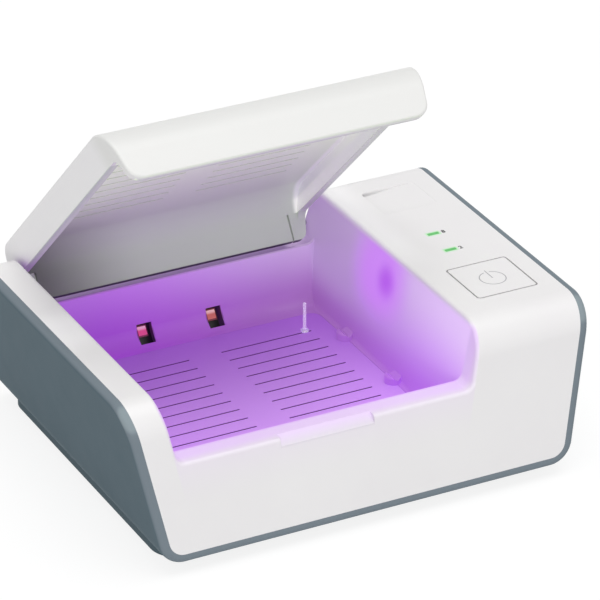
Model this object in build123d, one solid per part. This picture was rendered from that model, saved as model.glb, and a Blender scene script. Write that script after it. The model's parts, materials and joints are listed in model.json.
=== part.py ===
"""Hearing aid dryer: a low desktop box with a warm-air chamber under a hinged lid.

Millimetres, +X right, +Y back, +Z up.  The origin is on the resting plane, under the middle
of the outer shell.  The lid is drawn shut and then turned open about its hinge.
"""
from math import cos, hypot, radians, sin
import os

from build123d import *

os.makedirs("parts", exist_ok=True)

# ---------------------------------------------------------------- overall form
BODY_WIDTH = 121.3            # across the top, outside the grey rims
TOP_DEPTH = 83.9              # front edge to rear edge of the top plane
SHELL_HEIGHT = 39.15          # top plane down to the shell's underside
SIDE_SLOPE = 0.196            # the sides lean inward going down
FRONT_SLOPE = 0.130           # the front leans forward going down
REAR_SLOPE = 0.200            # the rear leans backward going down
FRONT_TOP_RADIUS = 8.6
REAR_TOP_RADIUS = 6.0
SHELL_CORNER_RADIUS = 6.15    # lower side corners of the shell
RIM_THICKNESS = 2.3           # the grey band seen from the front
RIM_ROUND = 1.3
COVER_WALL = 1.9              # moulded wall of the white top cover
FIT_GAP = 0.2                 # between fixed pieces that slip into each other
SLIP_GAP = 0.05               # radial, between a shaft and its bore
OVERSHOOT = 30.0              # how far the forms run past the body before they are cut
BEYOND = 1.0                  # how far a cut runs past the face that it opens
TOUCH = 0.01                  # how near counts as on the same face
ALONG = 0.999                 # how much of a direction lies along an axis that it follows

# ---------------------------------------------------------------- base and feet
FOOT_PROUD = 0.6
FOOT_RADIUS = 5.0
FOOT_SINK = 1.0
FOOT_FROM_SIDE = 16.75        # from the plinth's edges to a foot's middle
FOOT_FROM_FRONT = 7.6
FOOT_FROM_REAR = 8.1
PLINTH_HEIGHT = 2.35
PLINTH_INSET = 2.22           # inward of the shell's lower side edge
PLINTH_FRONT = 1.2            # behind the front edge of the top plane
PLINTH_REAR = 5.0             # beyond the rear edge of the top plane
PLINTH_CORNER_RADIUS = 6.8
BASE_FLOOR = 1.8
BASE_WALL = 2.0
SERVICE_FROM_SIDE = 9.75      # plinth's edges to the opening in the shell's floor
SERVICE_FROM_FRONT = 9.1
SERVICE_FROM_REAR = 10.1
SERVICE_RADIUS = 5.0
VENT_COUNT = 7
VENT_PITCH = 4.6
VENT_WIDTH = 2.0
VENT_MARGIN = 3.0             # inside the fan's bore, at each end of a vent
BASE_SCREW_FROM_SIDE = 5.75   # from the plinth's side to a screw
BASE_SCREW_FROM_FRONT = 5.9   # from the front and rear edges of the top plane
BASE_SCREW_FROM_REAR = 11.1
BASE_SCREW_RADIUS = 1.45
BASE_SCREW_HEAD_RADIUS = 2.7
BASE_SCREW_HEAD = 1.4
BASE_SCREW_LENGTH = 10.0
SCREW_SOCKET_SHARE = 0.4      # a screw's drive recess, as a share of its head
SCREW_BOSS_RADIUS = 2.9
COUNTERBORE_RADIUS = 3.0
COUNTERBORE_DEPTH = 1.6

# ---------------------------------------------------------------- fan and heater
FAN_SIZE = 40.0
FAN_HEIGHT = 6.0
FAN_FROM_MIDDLE = 1.05        # before the plinth's middle
FAN_STANDOFF = 2.2            # base floor to the fan's underside
FAN_WALL = 1.0                # frame left between the bore and the side
FAN_CORNER_RADIUS = 3.0
FAN_HOLE_INSET = 4.0
FAN_HOLE_RADIUS = 1.6
FAN_SCREW_RADIUS = 1.45
FAN_SCREW_HEAD_RADIUS = 2.4
FAN_SCREW_HEAD = 1.3
FAN_SCREW_LENGTH = 8.8
FAN_POST_RADIUS = 3.2
SPIDER_RADIUS = 8.6
SPIDER_THICKNESS = 1.0
SPIDER_ARM_WIDTH = 2.2
SPIDER_ARMS = 4
SPIDER_ROOT = 0.5             # how far an arm runs into the frame
SHAFT_RADIUS = 1.0
BEARING_WALL = 0.9
BEARING_TUBE_WALL = 1.0
STATOR_RADIUS = 7.0
STATOR_GAP = 1.0              # windings to the inside of the hub
HUB_WALL = 1.2
HUB_CAP = 1.0
HUB_SUNK = 0.3                # hub's top below the frame's top
HUB_CLEARANCE = 0.4           # spider to the hub's lower edge
BLADE_CLEARANCE = 0.3         # spider to the blades
SHAFT_CLEARANCE = 0.1
STATOR_CLEARANCE = 0.2
BEARING_HEADROOM = 0.5        # bearing tube to the hub's cap
STATOR_HEADROOM = 0.7
BLADE_COUNT = 7
BLADE_TIP_GAP = 0.7
BLADE_CHORD = 9.0
BLADE_THICKNESS = 0.8
BLADE_PITCH = 24.0            # degrees from level
AIR_GAP = 2.5                 # fan's top to the grille's underside
HEATER_WIDTH = 7.2
HEATER_LENGTH = 36.0
HEATER_THICKNESS = 1.4
CUTOFF_LENGTH = 5.0
CUTOFF_WIDTH = 2.8
CUTOFF_HEIGHT = 1.2
CUTOFF_GAP = 1.0

# ---------------------------------------------------------------- chamber
LEFT_STRIP = 9.65             # top plane to the left of the chamber's opening
PANEL_STRIP = 30.05           # top plane to its right, where the controls are
REAR_STRIP = 5.0              # sill of the rear wall to the rear edge of the top plane
CHAMBER_FRONT = 4.1           # its front wall, behind the front edge of the top plane
CHAMBER_REAR_SLOPE = 0.27
SILL_DEPTH = 13.4
SILL_THICKNESS = 1.0
TROUGH_DEPTH = 15.2
LIP_DEPTH = 14.85
NOTCH_RADIUS = 2.3
SIDE_FLOOR_RADIUS = 1.5
REAR_FLOOR_RADIUS = 5.0
OPENING_ROUND = 0.9           # soft edge all round the chamber's opening
FINGER_WIDTH = 24.1
FINGER_DROP = 1.85
FINGER_RUN = 2.4
GRILLE_THICKNESS = 1.5
GRILLE_FROM_SIDE = 0.91       # from the foot of the chamber's walls to the grille
GRILLE_FROM_FRONT = 1.4
GRILLE_FROM_REAR = 4.6
GRILLE_CORNER_RADIUS = 3.0
GRILLE_SEAM = 0.08
LEDGE_WIDTH = 2.6
LEDGE_THICKNESS = 1.4
SLOT_ROWS = 9
SLOT_PITCH = 4.54
SLOT_WIDTH = 0.5
SLOT_FROM_REAR = 8.28         # last slot to the grille's rear edge
SLOT_FROM_SIDE = 5.7          # slot's outer end to the grille's side
SLOT_FROM_MIDDLE = 4.3        # chamber centre line to a slot's near end
CLIP_RADIUS = 2.2
CLIP_HEIGHT = 2.3
CLIP_ROUND = 0.9
CLIP_NOTCH_WIDTH = 3.4        # groove across a clip's top, from front to rear
CLIP_NOTCH_DEPTH = 1.3
CLIPS_FROM_REAR = (40.0, 15.3)  # from the grille's rear edge
PEG_FROM_SIDE = 7.3           # from the grille's right and rear edges
PEG_FROM_REAR = 7.8
PEG_RADIUS = 0.4
PEG_HEIGHT = 7.8
PEG_COLLAR_RADIUS = 1.0
PEG_COLLAR = 0.4

# ---------------------------------------------------------------- ultraviolet lamps
WINDOW_SHIFT = -0.35          # middle of the two windows, beside the chamber's centre line
WINDOW_SPACING = 18.7
WINDOW_WIDTH = 4.1
WINDOW_LENGTH = 5.1
WINDOW_PROUD = 0.85           # window's middle before the leaning plane of the rear wall
WINDOW_ABOVE_FLOOR = 2.6
WINDOW_TILT = 34.6            # the lamps look forward and this much up
UV_BOARD_WIDTH = 9.0
UV_BOARD_THICKNESS = 1.0
UV_BOARD_SETBACK = 3.9        # window plane to the board's face
UV_BOARD_END = 2.6            # screw to the board's end
UV_LED_SIZE = 2.9
UV_LED_HEIGHT = 1.2
UV_LED_UP = 0.95
UV_LENS_SIZE = 2.2
UV_LENS_HEIGHT = 0.35
UV_PAD_WIDTH = 4.0
UV_PAD_INSET = 1.0            # pad inside the board's long edges
UV_PAD_FROM_WINDOW = 4.05     # window's middle to the pad's middle
UV_SCREW_RADIUS = 0.95
UV_SCREW_HEAD_RADIUS = 1.8
UV_SCREW_HEAD = 1.0
UV_SCREW_LENGTH = 3.2

# ---------------------------------------------------------------- lid
LID_GAP = 0.35                # lid to chamber, at each side and under the front flap
LID_REAR_GAP = 0.65           # rear flap to the trough
LID_COVER_WALL = 1.15
LID_LINER_WALL = 0.95
LID_SIDE_DROP = 8.14          # top plane down to the lid's side edge
LID_INNER_REAR_RADIUS = 8.0
LID_FRONT_CORNER = 4.0
LID_REAR_CORNER = 2.3
LID_SIDE_CORNER = 2.5
LID_EDGE_ROUND = 0.6
HINGE_DEPTH = 10.4
HINGE_TAB_WIDTH = 4.66        # cheek of the chamber to the middle of the slit
HINGE_SLIT = 0.5
HINGE_SLIT_TOP = 7.9
HINGE_PIN_RADIUS = 0.6
HINGE_PIN_INSET = 0.9         # how far the pin stops short of the slit
HINGE_PIN_GRIP = 0.01         # radial, between the pin and its tab
LID_OPEN_ANGLE = 44.1         # how far open the lid is drawn
LID_SLOT_FROM_REAR = 20.0     # last slot to the rear edge of the top plane
LID_SLOT_PITCH = 4.5
MAGNET_BACK = 35.0
MAGNET_DEPTH = 5.2
MAGNET_LENGTH = 6.0
MAGNET_HEIGHT = 3.4
MAGNET_THICKNESS = 0.6
MAGNET_FIT = 0.05

# ---------------------------------------------------------------- control panel
BUTTON_FROM_SIDE = 15.35      # from the top plane's right edge
BUTTON_BACK = 20.95
BUTTON_SIZE = 15.6
BUTTON_GAP = 0.42
BUTTON_CORNER = 0.6
BUTTON_FLANGE = 0.55          # how far the retaining flange reaches past the hole
BUTTON_FLANGE_THICKNESS = 0.8
BUTTON_STEM_RADIUS = 2.2
BUTTON_TRAVEL = 0.5
BUTTON_REST_GAP = 0.05
SWITCH_SIZE = 6.0
SWITCH_HEIGHT = 3.5
PLUNGER_RADIUS = 1.7
PLUNGER_PROUD = 1.0
PLUNGER_SUNK = 0.9
PLUNGER_ROOM = 0.7            # depth left under the plunger in the switch
BAR_LENGTH = 2.9
BAR_WIDTH = 1.0
BAR_CORNER = 0.25
BAR_CLEARANCE = 0.05
UPPER_BAR_FROM_SIDE = 16.75
UPPER_BAR_BACK = 47.2
LOWER_BAR_FROM_SIDE = 17.05
LOWER_BAR_BACK = 38.0
BAR_FLANGE = 0.6
STATUS_LED_LENGTH = 1.6
STATUS_LED_WIDTH = 0.8
STATUS_LED_HEIGHT = 0.8
BAR_TO_LED = 0.4
TRAY_FROM_SIDE = 15.05
TRAY_FROM_REAR = 16.2         # tray's middle to the rear edge of the top plane
TRAY_WIDTH = 14.7
TRAY_LENGTH = 13.0
TRAY_SINK = 1.0               # depth at its left edge; its floor rises to the right
TRAY_SINK_RIGHT = 0.05
TRAY_CORNER = 1.2
BOARD_THICKNESS = 1.6
CONTROL_BOARD_FROM_SIDE = 6.15  # its right edge, from the top plane's right edge
CONTROL_BOARD_WIDTH = 22.0
CONTROL_BOARD_FRONT = 9.3
CONTROL_BOARD_LENGTH = 46.0
CONTROL_BOARD_CORNER = 1.0
FRONT_POST_FROM_LEFT = 1.9    # board posts, from the board's edges
FRONT_POST_FROM_FRONT = 2.2
SIDE_POST_FROM_RIGHT = 2.1
SIDE_POST_FROM_FRONT = 23.3
REAR_POST_FROM_LEFT = 2.7
REAR_POST_FROM_RIGHT = 2.5
REAR_POST_FROM_REAR = 2.5
BOARD_POST_RADIUS = 2.1
BOARD_SCREW_RADIUS = 0.95
BOARD_SCREW_HEAD_RADIUS = 1.8
BOARD_SCREW_HEAD = 1.2
BOARD_SCREW_LENGTH = 5.0
SENSOR_SIZE = 3.0
SENSOR_HEIGHT = 1.4
SENSOR_FROM_EDGE = 0.8

# ---------------------------------------------------------------- power inlet
SOCKET_FROM_SIDE = 26.65      # from the top plane's right edge
SOCKET_ABOVE_SHELL = 8.35     # shell's underside to the inlet's middle
SOCKET_WIDTH = 8.94
SOCKET_HEIGHT = 3.26
SOCKET_LENGTH = 7.35
SOCKET_WALL = 0.3
TONGUE_WIDTH = 6.7
TONGUE_HEIGHT = 0.7
TONGUE_SETBACK = 0.8
POWER_BOARD_WIDTH = 13.0
POWER_BOARD_LENGTH = 17.0
POWER_BOARD_SETBACK = 1.0     # board edge behind the rear wall's inner face
POWER_POST_RADIUS = 2.2
POWER_POST_FROM_SIDE = 2.8
POWER_POST_FROM_EDGE = 3.0
REGULATOR_WIDTH = 4.0
REGULATOR_LENGTH = 2.0
REGULATOR_HEIGHT = 1.6

# ---------------------------------------------------------------- inner cables
CABLE_RADIUS = 0.8
CABLE_BEND = 3.6
CABLE_GAP = 2.4               # cable's middle to the walls that it runs along
UV_CABLE_FROM_REAR = 3.2      # where the lamps' cable meets the control board
POWER_CABLE_FROM_POST = 4.0   # before the board's rear posts

# ---------------------------------------------------------------- derived planes and places
SHELL_BOTTOM = FOOT_PROUD + PLINTH_HEIGHT
TOP_Z = SHELL_BOTTOM + SHELL_HEIGHT
SHELL_FLOOR_TOP = SHELL_BOTTOM + RIM_THICKNESS
BASE_FLOOR_TOP = FOOT_PROUD + BASE_FLOOR
SIDE_STRETCH = hypot(1, SIDE_SLOPE)
FRONT_STRETCH = hypot(1, FRONT_SLOPE)
REAR_STRETCH = hypot(1, REAR_SLOPE)
UNDER_TOP = TOP_Z - COVER_WALL
RIGHT_EDGE = BODY_WIDTH / 2
BOTTOM_LENGTH = TOP_DEPTH + SHELL_HEIGHT * (FRONT_SLOPE + REAR_SLOPE)
FRONT_TOP_Y = SHELL_HEIGHT * FRONT_SLOPE - BOTTOM_LENGTH / 2
REAR_TOP_Y = FRONT_TOP_Y + TOP_DEPTH
FAN_UNDER = BASE_FLOOR_TOP + FAN_STANDOFF
FAN_TOP = FAN_UNDER + FAN_HEIGHT
GRILLE_UNDER = FAN_TOP + AIR_GAP
CHAMBER_FLOOR = GRILLE_UNDER + GRILLE_THICKNESS
CHAMBER_WIDTH = BODY_WIDTH - LEFT_STRIP - PANEL_STRIP
CHAMBER_CENTRE_X = (LEFT_STRIP - PANEL_STRIP) / 2
CHAMBER_REAR = TOP_DEPTH - REAR_STRIP
TROUGH_FRONT = CHAMBER_REAR + SILL_THICKNESS
LEDGE_UNDER = GRILLE_UNDER - LEDGE_THICKNESS
LID_WALL = LID_COVER_WALL + LID_LINER_WALL
LID_FRONT_FLAP = LIP_DEPTH - LID_GAP
LID_REAR_FLAP = TROUGH_DEPTH - LID_REAR_GAP


def behind(distance):
    """Y of a place that lies a distance behind the front edge of the top plane."""
    return FRONT_TOP_Y + distance


def below(depth):
    """Z of a place that lies a depth below the top plane."""
    return TOP_Z - depth


def front_y(z, inset=0.0):
    """Y of the front face at a height, or of a plane set in behind it."""
    return FRONT_TOP_Y - FRONT_SLOPE * (TOP_Z - z) + inset * FRONT_STRETCH


def rear_y(z, inset=0.0):
    """Y of the rear face at a height, or of a plane set in before it."""
    return REAR_TOP_Y + REAR_SLOPE * (TOP_Z - z) - inset * REAR_STRETCH


def side_x(z, inset=0.0):
    """Half the body's width at a height, or of a plane set in from its side."""
    return BODY_WIDTH / 2 - SIDE_SLOPE * (TOP_Z - z) - inset * SIDE_STRETCH


def chamber_half(z, grow=0.0):
    """Half the chamber's width at a height, or with its walls moved out by grow."""
    return CHAMBER_WIDTH / 2 - SIDE_SLOPE * (TOP_Z - z) + grow * SIDE_STRETCH


def chamber_rear_y(z):
    """Y of the chamber's leaning rear wall at a height."""
    return behind(CHAMBER_REAR) - CHAMBER_REAR_SLOPE * (below(SILL_DEPTH) - z)


# ---------------------------------------------------------------- shape helpers
def rounded_polygon(corners, radii):
    """Flat face through the corners, each rounded by its own radius."""
    face = Polygon(*corners, align=None)
    for corner, radius in zip(corners, radii):
        if radius > 0:
            vertex = face.vertices().sort_by_distance(Vector(corner[0], corner[1], 0))[0]
            face = fillet(vertex, radius)
    return face


def along_x(face, low, high):
    """Prism of a face drawn in Y and Z, from one X to another."""
    placed = Plane((low, 0, 0), x_dir=(0, 1, 0), z_dir=(1, 0, 0)) * face
    return extrude(placed, high - low, dir=(1, 0, 0))


def along_y(face, low, high):
    """Prism of a face drawn in X and Z, from one Y to another."""
    placed = Plane((0, high, 0), x_dir=(1, 0, 0), z_dir=(0, -1, 0)) * face
    return extrude(placed, high - low, dir=(0, -1, 0))


def along_z(face, low, high):
    """Prism of a face drawn in X and Y, from one Z to another."""
    return extrude(Plane.XY.offset(low) * face, high - low, dir=(0, 0, 1))


def block(x_range, y_range, z_range):
    """Box between two values on each axis."""
    sizes = [high - low for low, high in (x_range, y_range, z_range)]
    middle = [(high + low) / 2 for low, high in (x_range, y_range, z_range)]
    return Pos(*middle) * Box(*sizes)


def rod(x, y, radius, low, high):
    """Upright cylinder between two heights."""
    return Pos(x, y, (low + high) / 2) * Cylinder(radius, high - low)


def rod_along_x(y, z, radius, low, high):
    """Level cylinder along X."""
    return Pos((low + high) / 2, y, z) * Rot(0, 90, 0) * Cylinder(radius, high - low)


def plate(x, y, width, length, corner, low, high):
    """Upright prism of a rounded rectangle."""
    return along_z(Pos(x, y) * RectangleRounded(width, length, corner), low, high)


def pan_screw(x, y, radius, head_radius, head_height, seat, length, point):
    """Screw whose head sits on a seat height; point is +1 or -1, the way the shank runs."""
    tip = seat + point * length
    crown = seat - point * head_height
    shank = rod(x, y, radius, min(seat, tip), max(seat, tip))
    head = rod(x, y, head_radius, min(seat, crown), max(seat, crown))
    floor = seat - point * head_height * SCREW_SOCKET_SHARE
    socket = rod(x, y, head_radius * SCREW_SOCKET_SHARE, min(crown, floor), max(crown, floor))
    return shank + head - socket


def four_corners(x, front, rear):
    """The four places (x, y) left and right of the middle, front and rear."""
    return [(side * x, y) for side in (-1, 1) for y in (front, rear)]


def cable(points):
    """Round cable through the points, with arcs at its corners."""
    path = FilletPolyline(*points, radius=CABLE_BEND)
    section = Plane(origin=path @ 0, z_dir=path % 0) * Circle(CABLE_RADIUS)
    return sweep(section, path=path)


def write(shape, node):
    """Save one piece under its node's name."""
    export_step(shape, f"parts/{node}.step")


# ---------------------------------------------------------------- body forms
def side_view_prism(inset, low, high_x, radii=None):
    """The body's side view, set in on all sides, as a prism across the whole width."""
    top = TOP_Z - inset
    if radii is None:
        radii = (FRONT_TOP_RADIUS - inset, REAR_TOP_RADIUS - inset)
    corners = [(front_y(low, inset), low), (front_y(top, inset), top),
               (rear_y(top, inset), top), (rear_y(low, inset), low)]
    return along_x(rounded_polygon(corners, [0, radii[0], radii[1], 0]), -high_x, high_x)


def front_view_prism(inset, low, corner_radius, top):
    """The body's front view, set in at the sides, as a prism from front to rear."""
    corners = [(-side_x(low, inset), low), (-side_x(top, inset), top),
               (side_x(top, inset), top), (side_x(low, inset), low)]
    face = rounded_polygon(corners, [corner_radius, 0, 0, corner_radius])
    return along_y(face, -BOTTOM_LENGTH, BOTTOM_LENGTH)


def hidden_square(radius, grow):
    """A chamber corner's radius; the hidden side of the walls keeps its corners square."""
    return radius if grow == 0 else 0


def chamber_prism(floor_z, radius, grow, low_y, high_y):
    """The chamber's front view above a floor height, from one Y to another."""
    low = floor_z - grow
    high = TOP_Z + OVERSHOOT
    middle = CHAMBER_CENTRE_X
    corners = [(middle - chamber_half(low, grow), low), (middle + chamber_half(low, grow), low),
               (middle + chamber_half(high, grow), high), (middle - chamber_half(high, grow), high)]
    shown_radius = hidden_square(radius, grow)
    face = rounded_polygon(corners, [shown_radius, shown_radius, 0, 0])
    return along_y(face, low_y, high_y)


def chamber_void(grow=0.0):
    """Everything open above the chamber: well, front notch, sill slot and rear trough."""
    low = CHAMBER_FLOOR - grow
    high = TOP_Z + OVERSHOOT
    front = behind(CHAMBER_FRONT) - grow
    rear_growth = grow * hypot(1, CHAMBER_REAR_SLOPE)
    corners = [(front, low), (chamber_rear_y(low) + rear_growth, low),
               (chamber_rear_y(high) + rear_growth, high), (front, high)]
    radii = [hidden_square(SIDE_FLOOR_RADIUS, grow), REAR_FLOOR_RADIUS + grow, 0, 0]
    side_view = along_x(rounded_polygon(corners, radii), -BODY_WIDTH, BODY_WIDTH)
    well = side_view & chamber_prism(CHAMBER_FLOOR, SIDE_FLOOR_RADIUS, grow, -BODY_WIDTH, BODY_WIDTH)
    notch = chamber_prism(below(LIP_DEPTH), NOTCH_RADIUS, grow, -BODY_WIDTH,
                          behind(CHAMBER_FRONT) + BEYOND)
    sill = chamber_prism(below(SILL_DEPTH), NOTCH_RADIUS, grow, behind(CHAMBER_REAR) - BEYOND,
                         BODY_WIDTH)
    trough = chamber_prism(below(TROUGH_DEPTH), NOTCH_RADIUS, grow, behind(TROUGH_FRONT) - grow,
                           BODY_WIDTH)
    return well + notch + sill + trough


# ---------------------------------------------------------------- lid placing
HINGE_Z = below(HINGE_DEPTH)
HINGE_Y = rear_y(HINGE_Z) - LID_WALL / 2
HINGE_AXIS = Axis((0, HINGE_Y, HINGE_Z), (-1, 0, 0))
HINGE_TAB_INNER = chamber_half(HINGE_Z) - HINGE_TAB_WIDTH
HINGE_ZONE_Y = HINGE_Y - 2 * LID_WALL


def opened(shape):
    """Turn a piece of the shut lid to the angle at which the lid is drawn."""
    return shape.rotate(HINGE_AXIS, LID_OPEN_ANGLE)


# ---------------------------------------------------------------- places shared by pieces
PLINTH_HALF_WIDTH = side_x(SHELL_BOTTOM) - PLINTH_INSET
PLINTH_FRONT_Y = behind(PLINTH_FRONT)
PLINTH_REAR_Y = REAR_TOP_Y + PLINTH_REAR
PLINTH_Y = (PLINTH_FRONT_Y + PLINTH_REAR_Y) / 2
PLINTH_LENGTH = PLINTH_REAR_Y - PLINTH_FRONT_Y
PLINTH_TOP = SHELL_BOTTOM + SHELL_CORNER_RADIUS
FEET = four_corners(PLINTH_HALF_WIDTH - FOOT_FROM_SIDE, PLINTH_FRONT_Y + FOOT_FROM_FRONT,
                    PLINTH_REAR_Y - FOOT_FROM_REAR)
BASE_SCREW_X = PLINTH_HALF_WIDTH - BASE_SCREW_FROM_SIDE
BASE_SCREWS = four_corners(BASE_SCREW_X, behind(BASE_SCREW_FROM_FRONT),
                           REAR_TOP_Y - BASE_SCREW_FROM_REAR)
BASE_SCREW_SEAT = FOOT_PROUD + COUNTERBORE_DEPTH

FAN_X = CHAMBER_CENTRE_X
FAN_Y = PLINTH_Y - FAN_FROM_MIDDLE
FAN_HOLE_REACH = FAN_SIZE / 2 - FAN_HOLE_INSET
FAN_HOLES = [(FAN_X + i * FAN_HOLE_REACH, FAN_Y + j * FAN_HOLE_REACH)
             for i in (-1, 1) for j in (-1, 1)]
FAN_BORE_RADIUS = FAN_SIZE / 2 - FAN_WALL
SPIDER_TOP = FAN_UNDER + SPIDER_THICKNESS
HUB_TOP = FAN_TOP - HUB_SUNK
HUB_CAP_UNDER = HUB_TOP - HUB_CAP
HUB_INNER_RADIUS = STATOR_RADIUS + STATOR_GAP
HUB_RADIUS = HUB_INNER_RADIUS + HUB_WALL
BEARING_RADIUS = SHAFT_RADIUS + BEARING_WALL
BEARING_TUBE_RADIUS = BEARING_RADIUS + BEARING_TUBE_WALL
BEARING_TOP = HUB_CAP_UNDER - BEARING_HEADROOM
SHAFT_BORE_TOP = HUB_TOP - HUB_CAP / 4

GRILLE_HALF_WIDTH = chamber_half(CHAMBER_FLOOR) - GRILLE_FROM_SIDE
GRILLE_FRONT_Y = behind(CHAMBER_FRONT) + GRILLE_FROM_FRONT
GRILLE_REAR_Y = chamber_rear_y(CHAMBER_FLOOR) - GRILLE_FROM_REAR
GRILLE_Y = (GRILLE_FRONT_Y + GRILLE_REAR_Y) / 2
GRILLE_LENGTH = GRILLE_REAR_Y - GRILLE_FRONT_Y
SLOT_LENGTH = GRILLE_HALF_WIDTH - SLOT_FROM_MIDDLE - SLOT_FROM_SIDE
PEG_X = CHAMBER_CENTRE_X + GRILLE_HALF_WIDTH - PEG_FROM_SIDE
PEG_Y = GRILLE_REAR_Y - PEG_FROM_REAR

CONTROL_BOARD_RIGHT = RIGHT_EDGE - CONTROL_BOARD_FROM_SIDE
CONTROL_BOARD_LEFT = CONTROL_BOARD_RIGHT - CONTROL_BOARD_WIDTH
CONTROL_BOARD_X = CONTROL_BOARD_LEFT + CONTROL_BOARD_WIDTH / 2
CONTROL_BOARD_FRONT_Y = behind(CONTROL_BOARD_FRONT)
CONTROL_BOARD_REAR_Y = CONTROL_BOARD_FRONT_Y + CONTROL_BOARD_LENGTH
CONTROL_BOARD_Y = (CONTROL_BOARD_FRONT_Y + CONTROL_BOARD_REAR_Y) / 2
BOARD_POSTS = (
    (CONTROL_BOARD_LEFT + FRONT_POST_FROM_LEFT, CONTROL_BOARD_FRONT_Y + FRONT_POST_FROM_FRONT),
    (CONTROL_BOARD_RIGHT - SIDE_POST_FROM_RIGHT, CONTROL_BOARD_FRONT_Y + SIDE_POST_FROM_FRONT),
    (CONTROL_BOARD_LEFT + REAR_POST_FROM_LEFT, CONTROL_BOARD_REAR_Y - REAR_POST_FROM_REAR),
    (CONTROL_BOARD_RIGHT - REAR_POST_FROM_RIGHT, CONTROL_BOARD_REAR_Y - REAR_POST_FROM_REAR),
)
BUTTON_X = RIGHT_EDGE - BUTTON_FROM_SIDE
BUTTON_Y = behind(BUTTON_BACK)
BUTTON_HOLE = BUTTON_SIZE + 2 * BUTTON_GAP
BUTTON_FLANGE_SIZE = BUTTON_HOLE + 2 * BUTTON_FLANGE
BUTTON_FLANGE_TOP = UNDER_TOP - BUTTON_REST_GAP
STEM_BOTTOM = BUTTON_FLANGE_TOP - BUTTON_FLANGE_THICKNESS - 2 * BUTTON_TRAVEL
SWITCH_TOP = STEM_BOTTOM - PLUNGER_PROUD
BOARD_TOP = SWITCH_TOP - SWITCH_HEIGHT
BOARD_UNDER = BOARD_TOP - BOARD_THICKNESS
BARS = ((RIGHT_EDGE - UPPER_BAR_FROM_SIDE, behind(UPPER_BAR_BACK)),
        (RIGHT_EDGE - LOWER_BAR_FROM_SIDE, behind(LOWER_BAR_BACK)))
BAR_BOTTOM = BOARD_TOP + STATUS_LED_HEIGHT + BAR_TO_LED
TRAY_X = RIGHT_EDGE - TRAY_FROM_SIDE
TRAY_Y = REAR_TOP_Y - TRAY_FROM_REAR

SOCKET_X = RIGHT_EDGE - SOCKET_FROM_SIDE
SOCKET_Z = SHELL_BOTTOM + SOCKET_ABOVE_SHELL
SOCKET_MOUTH_Y = rear_y(SOCKET_Z)
SOCKET_BACK_Y = SOCKET_MOUTH_Y - SOCKET_LENGTH
SOCKET_Y = (SOCKET_BACK_Y + SOCKET_MOUTH_Y) / 2
POWER_BOARD_TOP = SOCKET_Z - SOCKET_HEIGHT / 2
POWER_BOARD_UNDER = POWER_BOARD_TOP - BOARD_THICKNESS
POWER_BOARD_REAR = rear_y(POWER_BOARD_UNDER, COVER_WALL) - POWER_BOARD_SETBACK
POWER_BOARD_FRONT = POWER_BOARD_REAR - POWER_BOARD_LENGTH
POWER_POST_REACH = POWER_BOARD_WIDTH / 2 - POWER_POST_FROM_SIDE
POWER_POSTS = [(SOCKET_X + side * POWER_POST_REACH, POWER_BOARD_FRONT + POWER_POST_FROM_EDGE)
               for side in (-1, 1)]

WINDOW_Z = CHAMBER_FLOOR + WINDOW_ABOVE_FLOOR
UV_PLANE = Plane(origin=(CHAMBER_CENTRE_X + WINDOW_SHIFT, chamber_rear_y(WINDOW_Z) - WINDOW_PROUD,
                         WINDOW_Z),
                 x_dir=(1, 0, 0),
                 z_dir=(0, -cos(radians(WINDOW_TILT)), sin(radians(WINDOW_TILT))))
WINDOW_OFFSETS = (-WINDOW_SPACING / 2, WINDOW_SPACING / 2)
UV_PAD_OFFSET = WINDOW_SPACING / 2 + UV_PAD_FROM_WINDOW
UV_BOARD_LENGTH = 2 * (UV_PAD_OFFSET + UV_BOARD_END)
UV_BOARD_BACK = UV_BOARD_SETBACK + UV_BOARD_THICKNESS
UV_SCREW_TIP = UV_SCREW_LENGTH - UV_BOARD_BACK
CABLE_RISER_X = CHAMBER_CENTRE_X + chamber_half(BOARD_UNDER, COVER_WALL) + CABLE_GAP


def on_lamps(x, y, low, high, width, length):
    """Box that stands on the lamps' tilted plane, from one height above it to another."""
    return UV_PLANE * Pos(x, y, (low + high) / 2) * Box(width, length, high - low)


def lamp_rod(x, radius, low, high):
    """Cylinder square to the lamps' tilted plane, from one height above it to another."""
    return UV_PLANE * Pos(x, 0, (low + high) / 2) * Cylinder(radius, high - low)


# ---------------------------------------------------------------- housing shells
def rim_edges(form):
    """The loop of edges between the body's sides and its front, top, rear and underside."""
    chosen = []
    for edge in form.edges():
        direction = edge % 0.5
        height = (edge @ 0.5).Z
        straight = edge.geom_type == GeomType.LINE
        along_depth = straight and abs(direction.Y) > ALONG
        along_width = straight and abs(direction.X) > ALONG
        if along_depth and height < TOP_Z - RIM_ROUND:
            continue
        if along_width and height > SHELL_BOTTOM + RIM_ROUND:
            continue
        if along_width or along_depth or not straight or abs(direction.Z) > 0.5:
            chosen.append(edge)
    return chosen


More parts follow.
